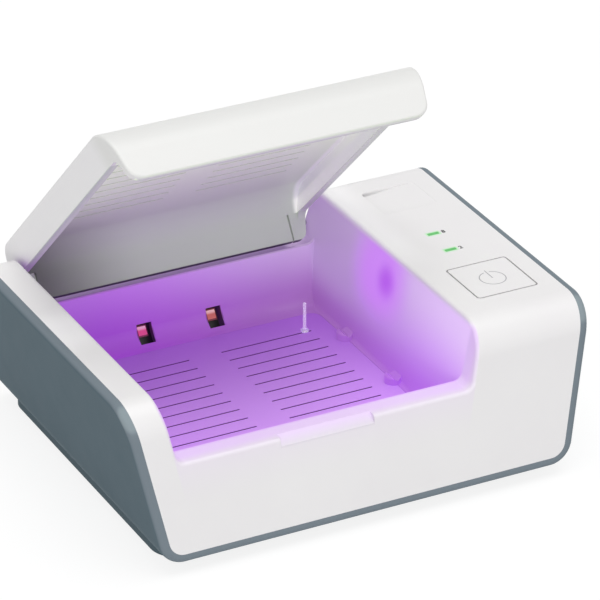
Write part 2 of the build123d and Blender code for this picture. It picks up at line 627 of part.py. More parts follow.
def make_outer_shell():
    """Grey tray that wraps the left side, the underside and the right side."""
    form = side_view_prism(0, SHELL_BOTTOM, BODY_WIDTH)
    form = form & front_view_prism(0, SHELL_BOTTOM, SHELL_CORNER_RADIUS, TOP_Z + OVERSHOOT)
    form = fillet(rim_edges(form), RIM_ROUND)
    shell = form - front_view_prism(RIM_THICKNESS, SHELL_FLOOR_TOP,
                                    SHELL_CORNER_RADIUS - RIM_THICKNESS, TOP_Z + OVERSHOOT)
    service_front = PLINTH_FRONT_Y + SERVICE_FROM_FRONT
    service_rear = PLINTH_REAR_Y - SERVICE_FROM_REAR
    shell -= plate(0, (service_front + service_rear) / 2,
                   2 * (PLINTH_HALF_WIDTH - SERVICE_FROM_SIDE), service_rear - service_front,
                   SERVICE_RADIUS, SHELL_BOTTOM - BEYOND, SHELL_FLOOR_TOP + BEYOND)
    for x, y in BASE_SCREWS:
        shell -= rod(x, y, BASE_SCREW_RADIUS + FIT_GAP, SHELL_BOTTOM - BEYOND,
                     SHELL_FLOOR_TOP + BEYOND)
    return shell


def opening_edges(cover):
    """The edges of the chamber's opening that lie on the cover's outer face."""
    chosen = []
    for edge in cover.edges():
        places = [edge @ share for share in (0.02, 0.5, 0.98)]
        outside = all(on_outer_face(place) for place in places)
        beside = all(abs(place.X) < side_x(place.Z, RIM_THICKNESS) - TOUCH for place in places)
        beyond = all(place.Z > below(TROUGH_DEPTH) - TOUCH for place in places)
        across = abs((edge % 0.5).X) > ALONG and (edge @ 0.5).Z > below(LIP_DEPTH) + TOUCH
        across_rear = across and (edge @ 0.5).Y > 0 and (edge @ 0.5).Z < below(SILL_DEPTH)
        if outside and beside and beyond and (across_rear or not across):
            chosen.append(edge)
    return chosen


def on_outer_face(place):
    """Whether a point lies on the body's front, top or rear face or their rounded edges."""
    if place.Z > TOP_Z - TOUCH:
        return True
    if place.Y < 0:
        return abs(place.Y - front_y(place.Z)) < TOUCH or (
            place.Z > TOP_Z - FRONT_TOP_RADIUS and place.Y < behind(FRONT_TOP_RADIUS))
    return abs(place.Y - rear_y(place.Z)) < TOUCH or (
        place.Z > TOP_Z - REAR_TOP_RADIUS and place.Y > REAR_TOP_Y - REAR_TOP_RADIUS)


def finger_recess():
    """Sloped cut in the lip, under the front flap, for a fingertip."""
    lip = below(LIP_DEPTH)
    fall = FINGER_DROP / (FINGER_RUN + FRONT_SLOPE * FINGER_DROP)
    start = front_y(lip) + FINGER_RUN
    end = front_y(lip) - FINGER_RUN
    corners = [(start, lip), (end, lip - fall * (start - end)), (end, lip + FINGER_RUN),
               (start, lip + FINGER_RUN)]
    return along_x(Polygon(*corners, align=None), CHAMBER_CENTRE_X - FINGER_WIDTH / 2,
                   CHAMBER_CENTRE_X + FINGER_WIDTH / 2)


def grille_frame():
    """Flange round the foot of the chamber that the floor grille drops into."""
    left = CHAMBER_CENTRE_X - chamber_half(CHAMBER_FLOOR)
    right = CHAMBER_CENTRE_X + chamber_half(CHAMBER_FLOOR)
    front = behind(CHAMBER_FRONT) - COVER_WALL
    rear = GRILLE_REAR_Y + LEDGE_WIDTH
    frame = block((left, right), (front, rear), (LEDGE_UNDER, CHAMBER_FLOOR - COVER_WALL / 2))
    pocket = plate(CHAMBER_CENTRE_X, GRILLE_Y, 2 * (GRILLE_HALF_WIDTH + GRILLE_SEAM),
                   GRILLE_LENGTH + 2 * GRILLE_SEAM, GRILLE_CORNER_RADIUS, GRILLE_UNDER, TOP_Z)
    way_through = plate(CHAMBER_CENTRE_X, GRILLE_Y, 2 * (GRILLE_HALF_WIDTH - LEDGE_WIDTH),
                        GRILLE_LENGTH - 2 * LEDGE_WIDTH, GRILLE_CORNER_RADIUS, 0, TOP_Z)
    return frame, pocket + way_through


def cover_bosses():
    """Screw columns and board posts under the top cover."""
    roof = TOP_Z - COVER_WALL / 2
    bosses = [rod(x, y, SCREW_BOSS_RADIUS, SHELL_FLOOR_TOP, LEDGE_UNDER if x < 0 else roof)
              for x, y in BASE_SCREWS]
    bosses += [rod(x, y, BOARD_POST_RADIUS, BOARD_TOP, roof) for x, y in BOARD_POSTS]
    bosses += [on_lamps(side * UV_PAD_OFFSET, 0, -UV_BOARD_SETBACK, -COVER_WALL / 2, UV_PAD_WIDTH,
                        UV_BOARD_WIDTH - 2 * UV_PAD_INSET) for side in (-1, 1)]
    return bosses


def make_top_cover():
    """White cover: panel, front and rear walls and the chamber's walls in one moulding."""
    outer = side_view_prism(0, 0, BODY_WIDTH)
    outer = outer & front_view_prism(RIM_THICKNESS, SHELL_FLOOR_TOP,
                                     SHELL_CORNER_RADIUS - RIM_THICKNESS, TOP_Z + OVERSHOOT)
    opening = chamber_void()
    cover = outer - opening
    cover = fillet(opening_edges(cover), OPENING_ROUND)
    inside = side_view_prism(COVER_WALL, -OVERSHOOT, BODY_WIDTH) - chamber_void(COVER_WALL)
    inside -= block((TRAY_X - TRAY_WIDTH / 2 - COVER_WALL, TRAY_X + TRAY_WIDTH / 2 + COVER_WALL),
                    (TRAY_Y - TRAY_LENGTH / 2 - COVER_WALL, TRAY_Y + TRAY_LENGTH / 2 + COVER_WALL),
                    (UNDER_TOP - TRAY_SINK, TOP_Z))
    cover -= inside
    frame, grille_cut = grille_frame()
    cover += frame
    for boss in cover_bosses():
        cover += (boss & outer) - opening
    cover -= grille_cut
    cover -= finger_recess()
    for cut in panel_cuts() + screw_holes() + lamp_cuts() + hinge_bores():
        cover -= cut
    cover -= socket_outline(2 * FIT_GAP, SOCKET_LENGTH + 2 * BEYOND, SOCKET_Y + BEYOND)
    for side in (-1, 1):
        for distance in CLIPS_FROM_REAR:
            cover += floor_clip(side, GRILLE_REAR_Y - distance)
    return cover


def panel_cuts():
    """Battery tray, button hole and bar slots of the control panel."""
    cuts = [tray_recess(),
            plate(BUTTON_X, BUTTON_Y, BUTTON_HOLE, BUTTON_HOLE, BUTTON_CORNER + BUTTON_GAP,
                  UNDER_TOP - BEYOND, TOP_Z + BEYOND)]
    for x, y in BARS:
        cuts.append(plate(x, y, BAR_LENGTH + 2 * BAR_CLEARANCE, BAR_WIDTH + 2 * BAR_CLEARANCE,
                          BAR_CORNER, UNDER_TOP - BEYOND, TOP_Z + BEYOND))
    return cuts


def tray_recess():
    """Shallow battery tray: a rounded rectangle whose floor rises to the right."""
    left = TRAY_X - TRAY_WIDTH / 2
    right = TRAY_X + TRAY_WIDTH / 2
    corners = [(left, TOP_Z - TRAY_SINK), (right, TOP_Z - TRAY_SINK_RIGHT), (right, TOP_Z + BEYOND),
               (left, TOP_Z + BEYOND)]
    wedge = along_y(Polygon(*corners, align=None), TRAY_Y - TRAY_LENGTH, TRAY_Y + TRAY_LENGTH)
    return wedge & plate(TRAY_X, TRAY_Y, TRAY_WIDTH, TRAY_LENGTH, TRAY_CORNER, UNDER_TOP,
                         TOP_Z + 2 * BEYOND)


def screw_holes():
    """Blind holes for the base screws and the control board's screws."""
    holes = [rod(x, y, BASE_SCREW_RADIUS + SLIP_GAP, SHELL_FLOOR_TOP - BEYOND,
                 BASE_SCREW_SEAT + BASE_SCREW_LENGTH + BEYOND) for x, y in BASE_SCREWS]
    holes += [rod(x, y, BOARD_SCREW_RADIUS + SLIP_GAP, BOARD_TOP - BEYOND,
                  BOARD_UNDER + BOARD_SCREW_LENGTH + BEYOND) for x, y in BOARD_POSTS]
    return holes


def lamp_cuts():
    """The two lamp windows and the screw holes of the lamp board's pads."""
    cuts = [on_lamps(offset, 0, -UV_BOARD_SETBACK, WINDOW_LENGTH / 2, WINDOW_WIDTH, WINDOW_LENGTH)
            for offset in WINDOW_OFFSETS]
    cuts += [lamp_rod(side * UV_PAD_OFFSET, UV_SCREW_RADIUS + SLIP_GAP, -UV_BOARD_BACK,
                      UV_SCREW_TIP) for side in (-1, 1)]
    return cuts


def hinge_bores():
    """Blind bores for the hinge pins in the chamber's two cheeks."""
    bores = []
    for side in (-1, 1):
        ends = [CHAMBER_CENTRE_X + side * (chamber_half(HINGE_Z) + reach)
                for reach in (-BEYOND, COVER_WALL + BEYOND)]
        bores.append(rod_along_x(HINGE_Y, HINGE_Z, HINGE_PIN_RADIUS + SLIP_GAP, *sorted(ends)))
    return bores


def floor_clip(side, y):
    """Small grooved bump at the chamber's side that holds the grille down."""
    wall_x = CHAMBER_CENTRE_X + side * GRILLE_HALF_WIDTH
    top = CHAMBER_FLOOR + CLIP_HEIGHT
    bump = rod(wall_x, y, CLIP_RADIUS, CHAMBER_FLOOR, top)
    top_edge = bump.edges().group_by(Axis.Z)[-1]
    bump = fillet(top_edge, CLIP_ROUND)
    groove = [(wall_x - CLIP_NOTCH_WIDTH, top + CLIP_NOTCH_DEPTH), (wall_x, top - CLIP_NOTCH_DEPTH),
              (wall_x + CLIP_NOTCH_WIDTH, top + CLIP_NOTCH_DEPTH)]
    bump -= along_y(Polygon(*groove, align=None), y - CLIP_RADIUS, y + CLIP_RADIUS)
    reach = side * (chamber_half(CHAMBER_FLOOR) - GRILLE_HALF_WIDTH + COVER_WALL / 2)
    low, high = sorted((wall_x - side * CLIP_RADIUS, wall_x + reach))
    return bump & block((low, high), (y - CLIP_RADIUS, y + CLIP_RADIUS), (0, TOP_Z))


def socket_outline(grow, length, middle_y):
    """Stadium-shaped bar of the power inlet's outline, along Y."""
    width = SOCKET_WIDTH + grow
    height = SOCKET_HEIGHT + grow
    face = RectangleRounded(width, height, height / 2 - TOUCH)
    return along_y(Pos(SOCKET_X, SOCKET_Z) * face, middle_y - length / 2, middle_y + length / 2)


def make_floor_grille():
    """Slotted plate that the hearing aids lie on."""
    grille = plate(CHAMBER_CENTRE_X, GRILLE_Y, 2 * GRILLE_HALF_WIDTH, GRILLE_LENGTH,
                   GRILLE_CORNER_RADIUS, GRILLE_UNDER, CHAMBER_FLOOR)
    grille -= slot_fields(GRILLE_REAR_Y - SLOT_FROM_REAR, SLOT_PITCH, GRILLE_UNDER - BEYOND,
                          CHAMBER_FLOOR + BEYOND)
    return grille - rod(PEG_X, PEG_Y, PEG_RADIUS + SLIP_GAP, GRILLE_UNDER - BEYOND,
                        CHAMBER_FLOOR + BEYOND)


def slot_fields(last, pitch, low, high):
    """Two fields of narrow air slots, beside the chamber's centre line, up to a last Y."""
    slots = []
    for side in (-1, 1):
        x = CHAMBER_CENTRE_X + side * (SLOT_FROM_MIDDLE + SLOT_LENGTH / 2)
        for row in range(SLOT_ROWS):
            y = last - row * pitch
            slots.append(block((x - SLOT_LENGTH / 2, x + SLOT_LENGTH / 2),
                               (y - SLOT_WIDTH / 2, y + SLOT_WIDTH / 2), (low, high)))
    return slots


def make_tube_peg():
    """Clear upright peg in the grille, with a collar at its foot."""
    stem = rod(PEG_X, PEG_Y, PEG_RADIUS, GRILLE_UNDER, CHAMBER_FLOOR + PEG_HEIGHT)
    stem = fillet(stem.edges().group_by(Axis.Z)[-1], PEG_RADIUS / 2)
    return stem + rod(PEG_X, PEG_Y, PEG_COLLAR_RADIUS, CHAMBER_FLOOR, CHAMBER_FLOOR + PEG_COLLAR)


# ---------------------------------------------------------------- base
def make_base_cover():
    """Shallow plinth under the shell: air inlet, fan posts and screw seats."""
    base = plate(0, PLINTH_Y, 2 * PLINTH_HALF_WIDTH, PLINTH_LENGTH, PLINTH_CORNER_RADIUS,
                 FOOT_PROUD, PLINTH_TOP)
    base -= plate(0, PLINTH_Y, 2 * (PLINTH_HALF_WIDTH - BASE_WALL), PLINTH_LENGTH - 2 * BASE_WALL,
                  PLINTH_CORNER_RADIUS - BASE_WALL, BASE_FLOOR_TOP, PLINTH_TOP + BEYOND)
    for x, y in BASE_SCREWS:
        base += rod(x, y, COUNTERBORE_RADIUS + BASE_WALL / 2, FOOT_PROUD, SHELL_BOTTOM)
    form = side_view_prism(0, SHELL_BOTTOM, BODY_WIDTH)
    base -= form & front_view_prism(0, SHELL_BOTTOM, SHELL_CORNER_RADIUS, TOP_Z + OVERSHOOT)
    for x, y in FAN_HOLES:
        base += rod(x, y, FAN_POST_RADIUS, FOOT_PROUD, FAN_UNDER)
    for x, y in POWER_POSTS:
        base += rod(x, y, POWER_POST_RADIUS, FOOT_PROUD, POWER_BOARD_UNDER)
        base -= rod(x, y, BOARD_SCREW_RADIUS + SLIP_GAP,
                    POWER_BOARD_TOP - BOARD_SCREW_LENGTH - FIT_GAP, POWER_BOARD_UNDER + BEYOND)
    for x, y in BASE_SCREWS:
        base -= rod(x, y, COUNTERBORE_RADIUS, FOOT_PROUD - BEYOND, BASE_SCREW_SEAT)
        base -= rod(x, y, BASE_SCREW_RADIUS + FIT_GAP, FOOT_PROUD, SHELL_BOTTOM + BEYOND)
    for x, y in FEET:
        base -= rod(x, y, FOOT_RADIUS + FIT_GAP, FOOT_PROUD - BEYOND, FOOT_PROUD + FOOT_SINK)
    for x, y in FAN_HOLES:
        base -= rod(x, y, FAN_SCREW_RADIUS + SLIP_GAP, FAN_TOP - FAN_SCREW_LENGTH - FIT_GAP,
                    FAN_UNDER + BEYOND)
    first = FAN_X - (VENT_COUNT - 1) * VENT_PITCH / 2
    length = 2 * (FAN_BORE_RADIUS - VENT_MARGIN)
    for index in range(VENT_COUNT):
        base -= plate(first + index * VENT_PITCH, FAN_Y, VENT_WIDTH, length,
                      VENT_WIDTH / 2 - TOUCH, FOOT_PROUD - BEYOND, BASE_FLOOR_TOP + BEYOND)
    return base


def make_rubber_feet():
    """Four soft pads let into the base, the only things that touch the table."""
    feet = []
    for x, y in FEET:
        foot = rod(x, y, FOOT_RADIUS, 0, FOOT_PROUD + FOOT_SINK)
        feet.append(fillet(foot.edges().group_by(Axis.Z)[0], FOOT_PROUD / 2))
    return Compound(children=feet)


def make_base_screws():
    """Four screws that clamp base, shell and top cover together."""
    return Compound(children=[
        pan_screw(x, y, BASE_SCREW_RADIUS, BASE_SCREW_HEAD_RADIUS, BASE_SCREW_HEAD,
                  BASE_SCREW_SEAT, BASE_SCREW_LENGTH, 1) for x, y in BASE_SCREWS])


# ---------------------------------------------------------------- lid
def lid_form(inset, low):
    """The shut lid's outer form, or its inside set in by a wall, above a height."""
    if inset < LID_WALL:
        radii = (FRONT_TOP_RADIUS - inset, REAR_TOP_RADIUS - inset)
    else:
        radii = (FRONT_TOP_RADIUS - inset, LID_INNER_REAR_RADIUS)
    form = side_view_prism(inset, low, BODY_WIDTH, radii)
    top = TOP_Z - inset
    half_low = chamber_half(low) - LID_GAP - inset * SIDE_STRETCH
    half_top = chamber_half(top) - LID_GAP - inset * SIDE_STRETCH
    middle = CHAMBER_CENTRE_X
    corners = [(middle - half_low, low), (middle + half_low, low), (middle + half_top, top),
               (middle - half_top, top)]
    return form & along_y(Polygon(*corners, align=None), -BODY_WIDTH, BODY_WIDTH)


def lid_side_cut():
    """Room under the lid's side walls, between its front and rear flaps."""
    low = below(LID_FRONT_FLAP) - OVERSHOOT
    high = below(LID_SIDE_DROP)
    corners = [(front_y(low, LID_WALL), low), (rear_y(low, LID_WALL), low),
               (rear_y(high, LID_WALL), high), (front_y(high, LID_WALL), high)]
    return along_x(rounded_polygon(corners, [0, 0, LID_SIDE_CORNER, LID_SIDE_CORNER]),
                   -BODY_WIDTH, BODY_WIDTH)


def flap_outline(depth, radius, low_y, high_y):
    """What a flap keeps of the lid, seen from the front: rounded at its lower corners."""
    low = below(depth)
    high = TOP_Z + OVERSHOOT
    middle = CHAMBER_CENTRE_X
    half_low = chamber_half(low) - LID_GAP
    half_high = chamber_half(high) - LID_GAP
    corners = [(middle - half_low, low), (middle + half_low, low), (middle + half_high, high),
               (middle - half_high, high)]
    return along_y(rounded_polygon(corners, [radius, radius, 0, 0]), low_y, high_y)


def hinge_zone(side, inner):
    """Block round one hinge tab, outward of an offset from the chamber's centre line."""
    start = CHAMBER_CENTRE_X + side * inner
    end = CHAMBER_CENTRE_X + side * BODY_WIDTH
    return block(sorted((start, end)), (HINGE_ZONE_Y, BODY_WIDTH), (0, below(HINGE_SLIT_TOP)))


def lid_shell(outer_inset, inner_inset):
    """One skin of the lid, between two insets, with its flaps and side walls."""
    low = below(LID_REAR_FLAP)
    skin = lid_form(outer_inset, low) - lid_form(inner_inset, low - BEYOND)
    keep = flap_outline(LID_FRONT_FLAP, LID_FRONT_CORNER, -BODY_WIDTH, 0)
    keep += flap_outline(LID_REAR_FLAP, LID_REAR_CORNER, 0, BODY_WIDTH)
    return (skin & keep) - lid_side_cut()


def hinge_slits():
    """Slits beside the two hinge tabs, which let them spring inward."""
    slits = []
    for side in (-1, 1):
        x = CHAMBER_CENTRE_X + side * HINGE_TAB_INNER
        slits.append(block((x - HINGE_SLIT / 2, x + HINGE_SLIT / 2), (HINGE_ZONE_Y, BODY_WIDTH),
                           (0, below(HINGE_SLIT_TOP))))
    return slits


def hinge_span(side, inner_gap, outer_gap):
    """X range at one hinge, from the slit outward to the chamber's cheek."""
    inner = CHAMBER_CENTRE_X + side * (HINGE_TAB_INNER + HINGE_SLIT / 2 + inner_gap)
    outer = CHAMBER_CENTRE_X + side * (chamber_half(HINGE_Z) + outer_gap)
    return sorted((inner, outer))


def make_lid_cover():
    """Outer skin of the lid, with the two hinge tabs as thick as both skins."""
    cover = lid_shell(0, LID_COVER_WALL)
    long_edges = [edge for edge in cover.edges() if top_side_edge(edge)]
    cover = fillet(long_edges, LID_EDGE_ROUND)
    for side in (-1, 1):
        cover += lid_shell(LID_COVER_WALL, LID_WALL) & hinge_zone(side, HINGE_TAB_INNER)
    cover -= hinge_slits()
    for side in (-1, 1):
        cover -= rod_along_x(HINGE_Y, HINGE_Z, HINGE_PIN_RADIUS + HINGE_PIN_GRIP,
                             *hinge_span(side, HINGE_PIN_INSET, COVER_WALL))
    return cover


def top_side_edge(edge):
    """Whether an edge of the lid's skin lies along the top of its left or right side."""
    middle = edge @ 0.5
    outer = chamber_half(middle.Z) - LID_GAP
    across = abs((edge % 0.5).X) > ALONG
    beside = abs(abs(middle.X - CHAMBER_CENTRE_X) - outer) < TOUCH
    return beside and on_outer_face(middle) and not across


def make_lid_liner():
    """Slotted inner skin of the lid."""
    liner = lid_shell(LID_COVER_WALL, LID_WALL)
    liner -= slot_fields(REAR_TOP_Y - LID_SLOT_FROM_REAR, LID_SLOT_PITCH, below(LID_WALL + BEYOND),
                         TOP_Z)
    for side in (-1, 1):
        liner -= hinge_zone(side, HINGE_TAB_INNER - HINGE_SLIT / 2)
    return liner - magnet_form(MAGNET_FIT)


def magnet_form(grow):
    """The lid magnet's slab, let into the outer face of the liner's right wall."""
    y, z = behind(MAGNET_BACK), below(MAGNET_DEPTH)
    skin = lid_form(LID_COVER_WALL, z - MAGNET_HEIGHT) - \
        lid_form(LID_COVER_WALL + MAGNET_THICKNESS + grow / 2, z - MAGNET_HEIGHT - BEYOND)
    window = block((CHAMBER_CENTRE_X, BODY_WIDTH),
                   (y - MAGNET_LENGTH / 2 - grow, y + MAGNET_LENGTH / 2 + grow),
                   (z - MAGNET_HEIGHT / 2 - grow, z + MAGNET_HEIGHT / 2 + grow))
    return skin & window


def make_hinge_pin(side):
    """Steel pin fixed in one hinge tab and turning in the chamber's cheek."""
    return rod_along_x(HINGE_Y, HINGE_Z, HINGE_PIN_RADIUS,
                       *hinge_span(side, HINGE_PIN_INSET + FIT_GAP, COVER_WALL - FIT_GAP))


# ---------------------------------------------------------------- button and control board
def make_button_cap():
    """Square power button with a hidden flange that holds it in the panel."""
    cap = plate(BUTTON_X, BUTTON_Y, BUTTON_SIZE, BUTTON_SIZE, BUTTON_CORNER,
                BUTTON_FLANGE_TOP - BUTTON_FLANGE_THICKNESS, TOP_Z)
    cap += plate(BUTTON_X, BUTTON_Y, BUTTON_FLANGE_SIZE, BUTTON_FLANGE_SIZE, BUTTON_CORNER,
                 BUTTON_FLANGE_TOP - BUTTON_FLANGE_THICKNESS, BUTTON_FLANGE_TOP)
    return cap + rod(BUTTON_X, BUTTON_Y, BUTTON_STEM_RADIUS, STEM_BOTTOM, BUTTON_FLANGE_TOP)


def make_switch_plunger():
    """Round plunger of the push switch, which travels with the button."""
    return rod(BUTTON_X, BUTTON_Y, PLUNGER_RADIUS, SWITCH_TOP - PLUNGER_SUNK, STEM_BOTTOM)


def make_button_switch():
    """Body of the push switch under the button."""
    body = plate(BUTTON_X, BUTTON_Y, SWITCH_SIZE, SWITCH_SIZE, BUTTON_CORNER / 2, BOARD_TOP,
                 SWITCH_TOP)
    return body - rod(BUTTON_X, BUTTON_Y, PLUNGER_RADIUS + SLIP_GAP,
                      SWITCH_TOP - PLUNGER_SUNK - PLUNGER_ROOM, SWITCH_TOP + BEYOND)


def make_control_board():
    """Circuit board under the panel."""
    board = plate(CONTROL_BOARD_X, CONTROL_BOARD_Y, CONTROL_BOARD_WIDTH, CONTROL_BOARD_LENGTH,
                  CONTROL_BOARD_CORNER, BOARD_UNDER, BOARD_TOP)
    for x, y in BOARD_POSTS:
        board -= rod(x, y, BOARD_SCREW_RADIUS + FIT_GAP, BOARD_UNDER - BEYOND, BOARD_TOP + BEYOND)
    return board


def make_board_screws():
    """Screws that hold the control board and the power board."""
    screws = [pan_screw(x, y, BOARD_SCREW_RADIUS, BOARD_SCREW_HEAD_RADIUS, BOARD_SCREW_HEAD,
                        BOARD_UNDER, BOARD_SCREW_LENGTH, 1) for x, y in BOARD_POSTS]
    screws += [pan_screw(x, y, BOARD_SCREW_RADIUS, BOARD_SCREW_HEAD_RADIUS, BOARD_SCREW_HEAD,
                         POWER_BOARD_TOP, BOARD_SCREW_LENGTH, -1) for x, y in POWER_POSTS]
    return Compound(children=screws)


def make_light_bars():
    """Two clear bars that carry the status lamps' light to the panel."""
    bars = []
    for x, y in BARS:
        bar = plate(x, y, BAR_LENGTH, BAR_WIDTH, BAR_CORNER, BAR_BOTTOM, TOP_Z)
        flange = plate(x, y, BAR_LENGTH + 2 * BAR_FLANGE, BAR_WIDTH + 2 * BAR_FLANGE, BAR_CORNER,
                       UNDER_TOP - BAR_FLANGE, UNDER_TOP)
        bars.append(bar + flange)
    return Compound(children=bars)


def make_status_leds():
    """Two small lamps on the control board, one under each bar."""
    return Compound(children=[
        block((x - STATUS_LED_LENGTH / 2, x + STATUS_LED_LENGTH / 2),
              (y - STATUS_LED_WIDTH / 2, y + STATUS_LED_WIDTH / 2),
              (BOARD_TOP, BOARD_TOP + STATUS_LED_HEIGHT)) for x, y in BARS])


def make_lid_sensor():
    """Magnetic sensor at the board's left edge, level with the lid's magnet."""
    left = CONTROL_BOARD_LEFT + SENSOR_FROM_EDGE
    y = behind(MAGNET_BACK)
    return block((left, left + SENSOR_SIZE), (y - SENSOR_SIZE / 2, y + SENSOR_SIZE / 2),
                 (BOARD_TOP, BOARD_TOP + SENSOR_HEIGHT))


# ---------------------------------------------------------------- ultraviolet lamps
def make_uv_led_board():
    """Black board behind the chamber's rear wall, parallel to its two windows."""
    board = on_lamps(0, 0, -UV_BOARD_BACK, -UV_BOARD_SETBACK, UV_BOARD_LENGTH, UV_BOARD_WIDTH)
    for side in (-1, 1):
        board -= lamp_rod(side * UV_PAD_OFFSET, UV_SCREW_RADIUS + FIT_GAP,
                          -UV_BOARD_BACK - BEYOND, BEYOND - UV_BOARD_SETBACK)
    return board


def make_uv_leds():
    """Two square lamp packages with a low lens, seen through the windows."""
    foot = -UV_BOARD_SETBACK
    shoulder = foot + UV_LED_HEIGHT
    lamps = []
    for offset in WINDOW_OFFSETS:
        lamp = on_lamps(offset, UV_LED_UP, foot, shoulder, UV_LED_SIZE, UV_LED_SIZE)
        lens = on_lamps(offset, UV_LED_UP, shoulder, shoulder + UV_LENS_HEIGHT, UV_LENS_SIZE,
                        UV_LENS_SIZE)
        lamps.append(lamp + lens)
    return Compound(children=lamps)


def make_uv_screws():
    """Two screws through the lamp board into its pads."""
    seat = -UV_BOARD_BACK
    return Compound(children=[
        lamp_rod(side * UV_PAD_OFFSET, UV_SCREW_RADIUS, seat, UV_SCREW_TIP)
        + lamp_rod(side * UV_PAD_OFFSET, UV_SCREW_HEAD_RADIUS, seat - UV_SCREW_HEAD, seat)
        for side in (-1, 1)])


# ---------------------------------------------------------------- power inlet
def make_power_socket():
    """Metal shell of the low-voltage inlet, with its contact tongue."""
    shell = socket_outline(0, SOCKET_LENGTH, SOCKET_Y)
    bore = socket_outline(-2 * SOCKET_WALL, SOCKET_LENGTH, SOCKET_Y + 2 * SOCKET_WALL)
    tongue = block((SOCKET_X - TONGUE_WIDTH / 2, SOCKET_X + TONGUE_WIDTH / 2),
                   (SOCKET_BACK_Y + SOCKET_WALL, SOCKET_MOUTH_Y - TONGUE_SETBACK),
                   (SOCKET_Z - TONGUE_HEIGHT / 2, SOCKET_Z + TONGUE_HEIGHT / 2))
    return (shell - bore) + tongue


def make_power_board():
    """Small board that carries the inlet and the regulator."""
    board = block((SOCKET_X - POWER_BOARD_WIDTH / 2, SOCKET_X + POWER_BOARD_WIDTH / 2),
                  (POWER_BOARD_FRONT, POWER_BOARD_REAR), (POWER_BOARD_UNDER, POWER_BOARD_TOP))
    for x, y in POWER_POSTS:
        board -= rod(x, y, BOARD_SCREW_RADIUS + FIT_GAP, POWER_BOARD_UNDER - BEYOND,
                     POWER_BOARD_TOP + BEYOND)
    return board


def make_regulator():
    """Voltage regulator between the inlet and the board's screws."""
    y = (POWER_BOARD_FRONT + POWER_POST_FROM_EDGE + BOARD_SCREW_HEAD_RADIUS + SOCKET_BACK_Y) / 2
    return block((SOCKET_X - REGULATOR_WIDTH / 2, SOCKET_X + REGULATOR_WIDTH / 2),
                 (y - REGULATOR_LENGTH / 2, y + REGULATOR_LENGTH / 2),
                 (POWER_BOARD_TOP, POWER_BOARD_TOP + REGULATOR_HEIGHT))


# ---------------------------------------------------------------- fan and heater
def fan_rod(radius, low, high):
    """Cylinder about the fan's axis."""
    return rod(FAN_X, FAN_Y, radius, low, high)


def make_fan_frame():
    """Square fan frame with a spider that carries the bearing tube."""
    frame = plate(FAN_X, FAN_Y, FAN_SIZE, FAN_SIZE, FAN_CORNER_RADIUS, FAN_UNDER, FAN_TOP)
    frame -= fan_rod(FAN_BORE_RADIUS, FAN_UNDER - BEYOND, FAN_TOP + BEYOND)
    for x, y in FAN_HOLES:
        frame -= rod(x, y, FAN_HOLE_RADIUS, FAN_UNDER - BEYOND, FAN_TOP + BEYOND)
    frame += fan_rod(SPIDER_RADIUS, FAN_UNDER, SPIDER_TOP)
    arm_start = SPIDER_RADIUS / 2
    arm_end = FAN_BORE_RADIUS + SPIDER_ROOT
    for index in range(SPIDER_ARMS):
        arm = block((arm_start, arm_end), (-SPIDER_ARM_WIDTH / 2, SPIDER_ARM_WIDTH / 2),
                    (FAN_UNDER, SPIDER_TOP))
        frame += Pos(FAN_X, FAN_Y, 0) * Rot(0, 0, 360 / SPIDER_ARMS * (index + 0.5)) * arm
    frame += fan_rod(BEARING_TUBE_RADIUS, FAN_UNDER, BEARING_TOP)
    return frame - fan_rod(BEARING_RADIUS, SPIDER_TOP + SHAFT_CLEARANCE, FAN_TOP)


def make_fan_bearing():
    """Sleeve bearing pressed into the fan's bearing tube."""
    sleeve = fan_rod(BEARING_RADIUS, SPIDER_TOP + SHAFT_CLEARANCE, BEARING_TOP)
    return sleeve - fan_rod(SHAFT_RADIUS + SLIP_GAP, FAN_UNDER, FAN_TOP)


def make_fan_stator():
    """Ring of windings round the bearing tube."""
    ring = fan_rod(STATOR_RADIUS, SPIDER_TOP + STATOR_CLEARANCE, HUB_CAP_UNDER - STATOR_HEADROOM)
    return ring - fan_rod(BEARING_TUBE_RADIUS, FAN_UNDER, FAN_TOP)


def make_fan_shaft():
    """Steel shaft that turns in the sleeve bearing."""
    return fan_rod(SHAFT_RADIUS, SPIDER_TOP + SHAFT_CLEARANCE + SLIP_GAP, SHAFT_BORE_TOP)


def make_fan_impeller():
    """Hub cup with pitched blades."""
    hub_low = SPIDER_TOP + HUB_CLEARANCE
    hub = fan_rod(HUB_RADIUS, hub_low, HUB_TOP)
    hub -= fan_rod(HUB_INNER_RADIUS, hub_low - BEYOND, HUB_CAP_UNDER)
    hub -= fan_rod(SHAFT_RADIUS, hub_low, SHAFT_BORE_TOP)
    blade_low = SPIDER_TOP + BLADE_CLEARANCE
    blade_tip = FAN_BORE_RADIUS - BLADE_TIP_GAP
    root = HUB_INNER_RADIUS + HUB_WALL / 2
    ring = fan_rod(blade_tip, blade_low, HUB_TOP) - fan_rod(root, blade_low - BEYOND, FAN_TOP)
    for index in range(BLADE_COUNT):
        blade = block((root, blade_tip + BEYOND), (-BLADE_CHORD / 2, BLADE_CHORD / 2),
                      (-BLADE_THICKNESS / 2, BLADE_THICKNESS / 2))
        placed = Pos(0, 0, (blade_low + HUB_TOP) / 2) * Rot(BLADE_PITCH, 0, 0) * blade
        hub += (Pos(FAN_X, FAN_Y, 0) * Rot(0, 0, 360 / BLADE_COUNT * index) * placed) & ring
    return hub


def make_fan_screws():
    """Four screws that hold the fan on its posts."""
    return Compound(children=[
        pan_screw(x, y, FAN_SCREW_RADIUS, FAN_SCREW_HEAD_RADIUS, FAN_SCREW_HEAD, FAN_TOP,
                  FAN_SCREW_LENGTH, -1) for x, y in FAN_HOLES])


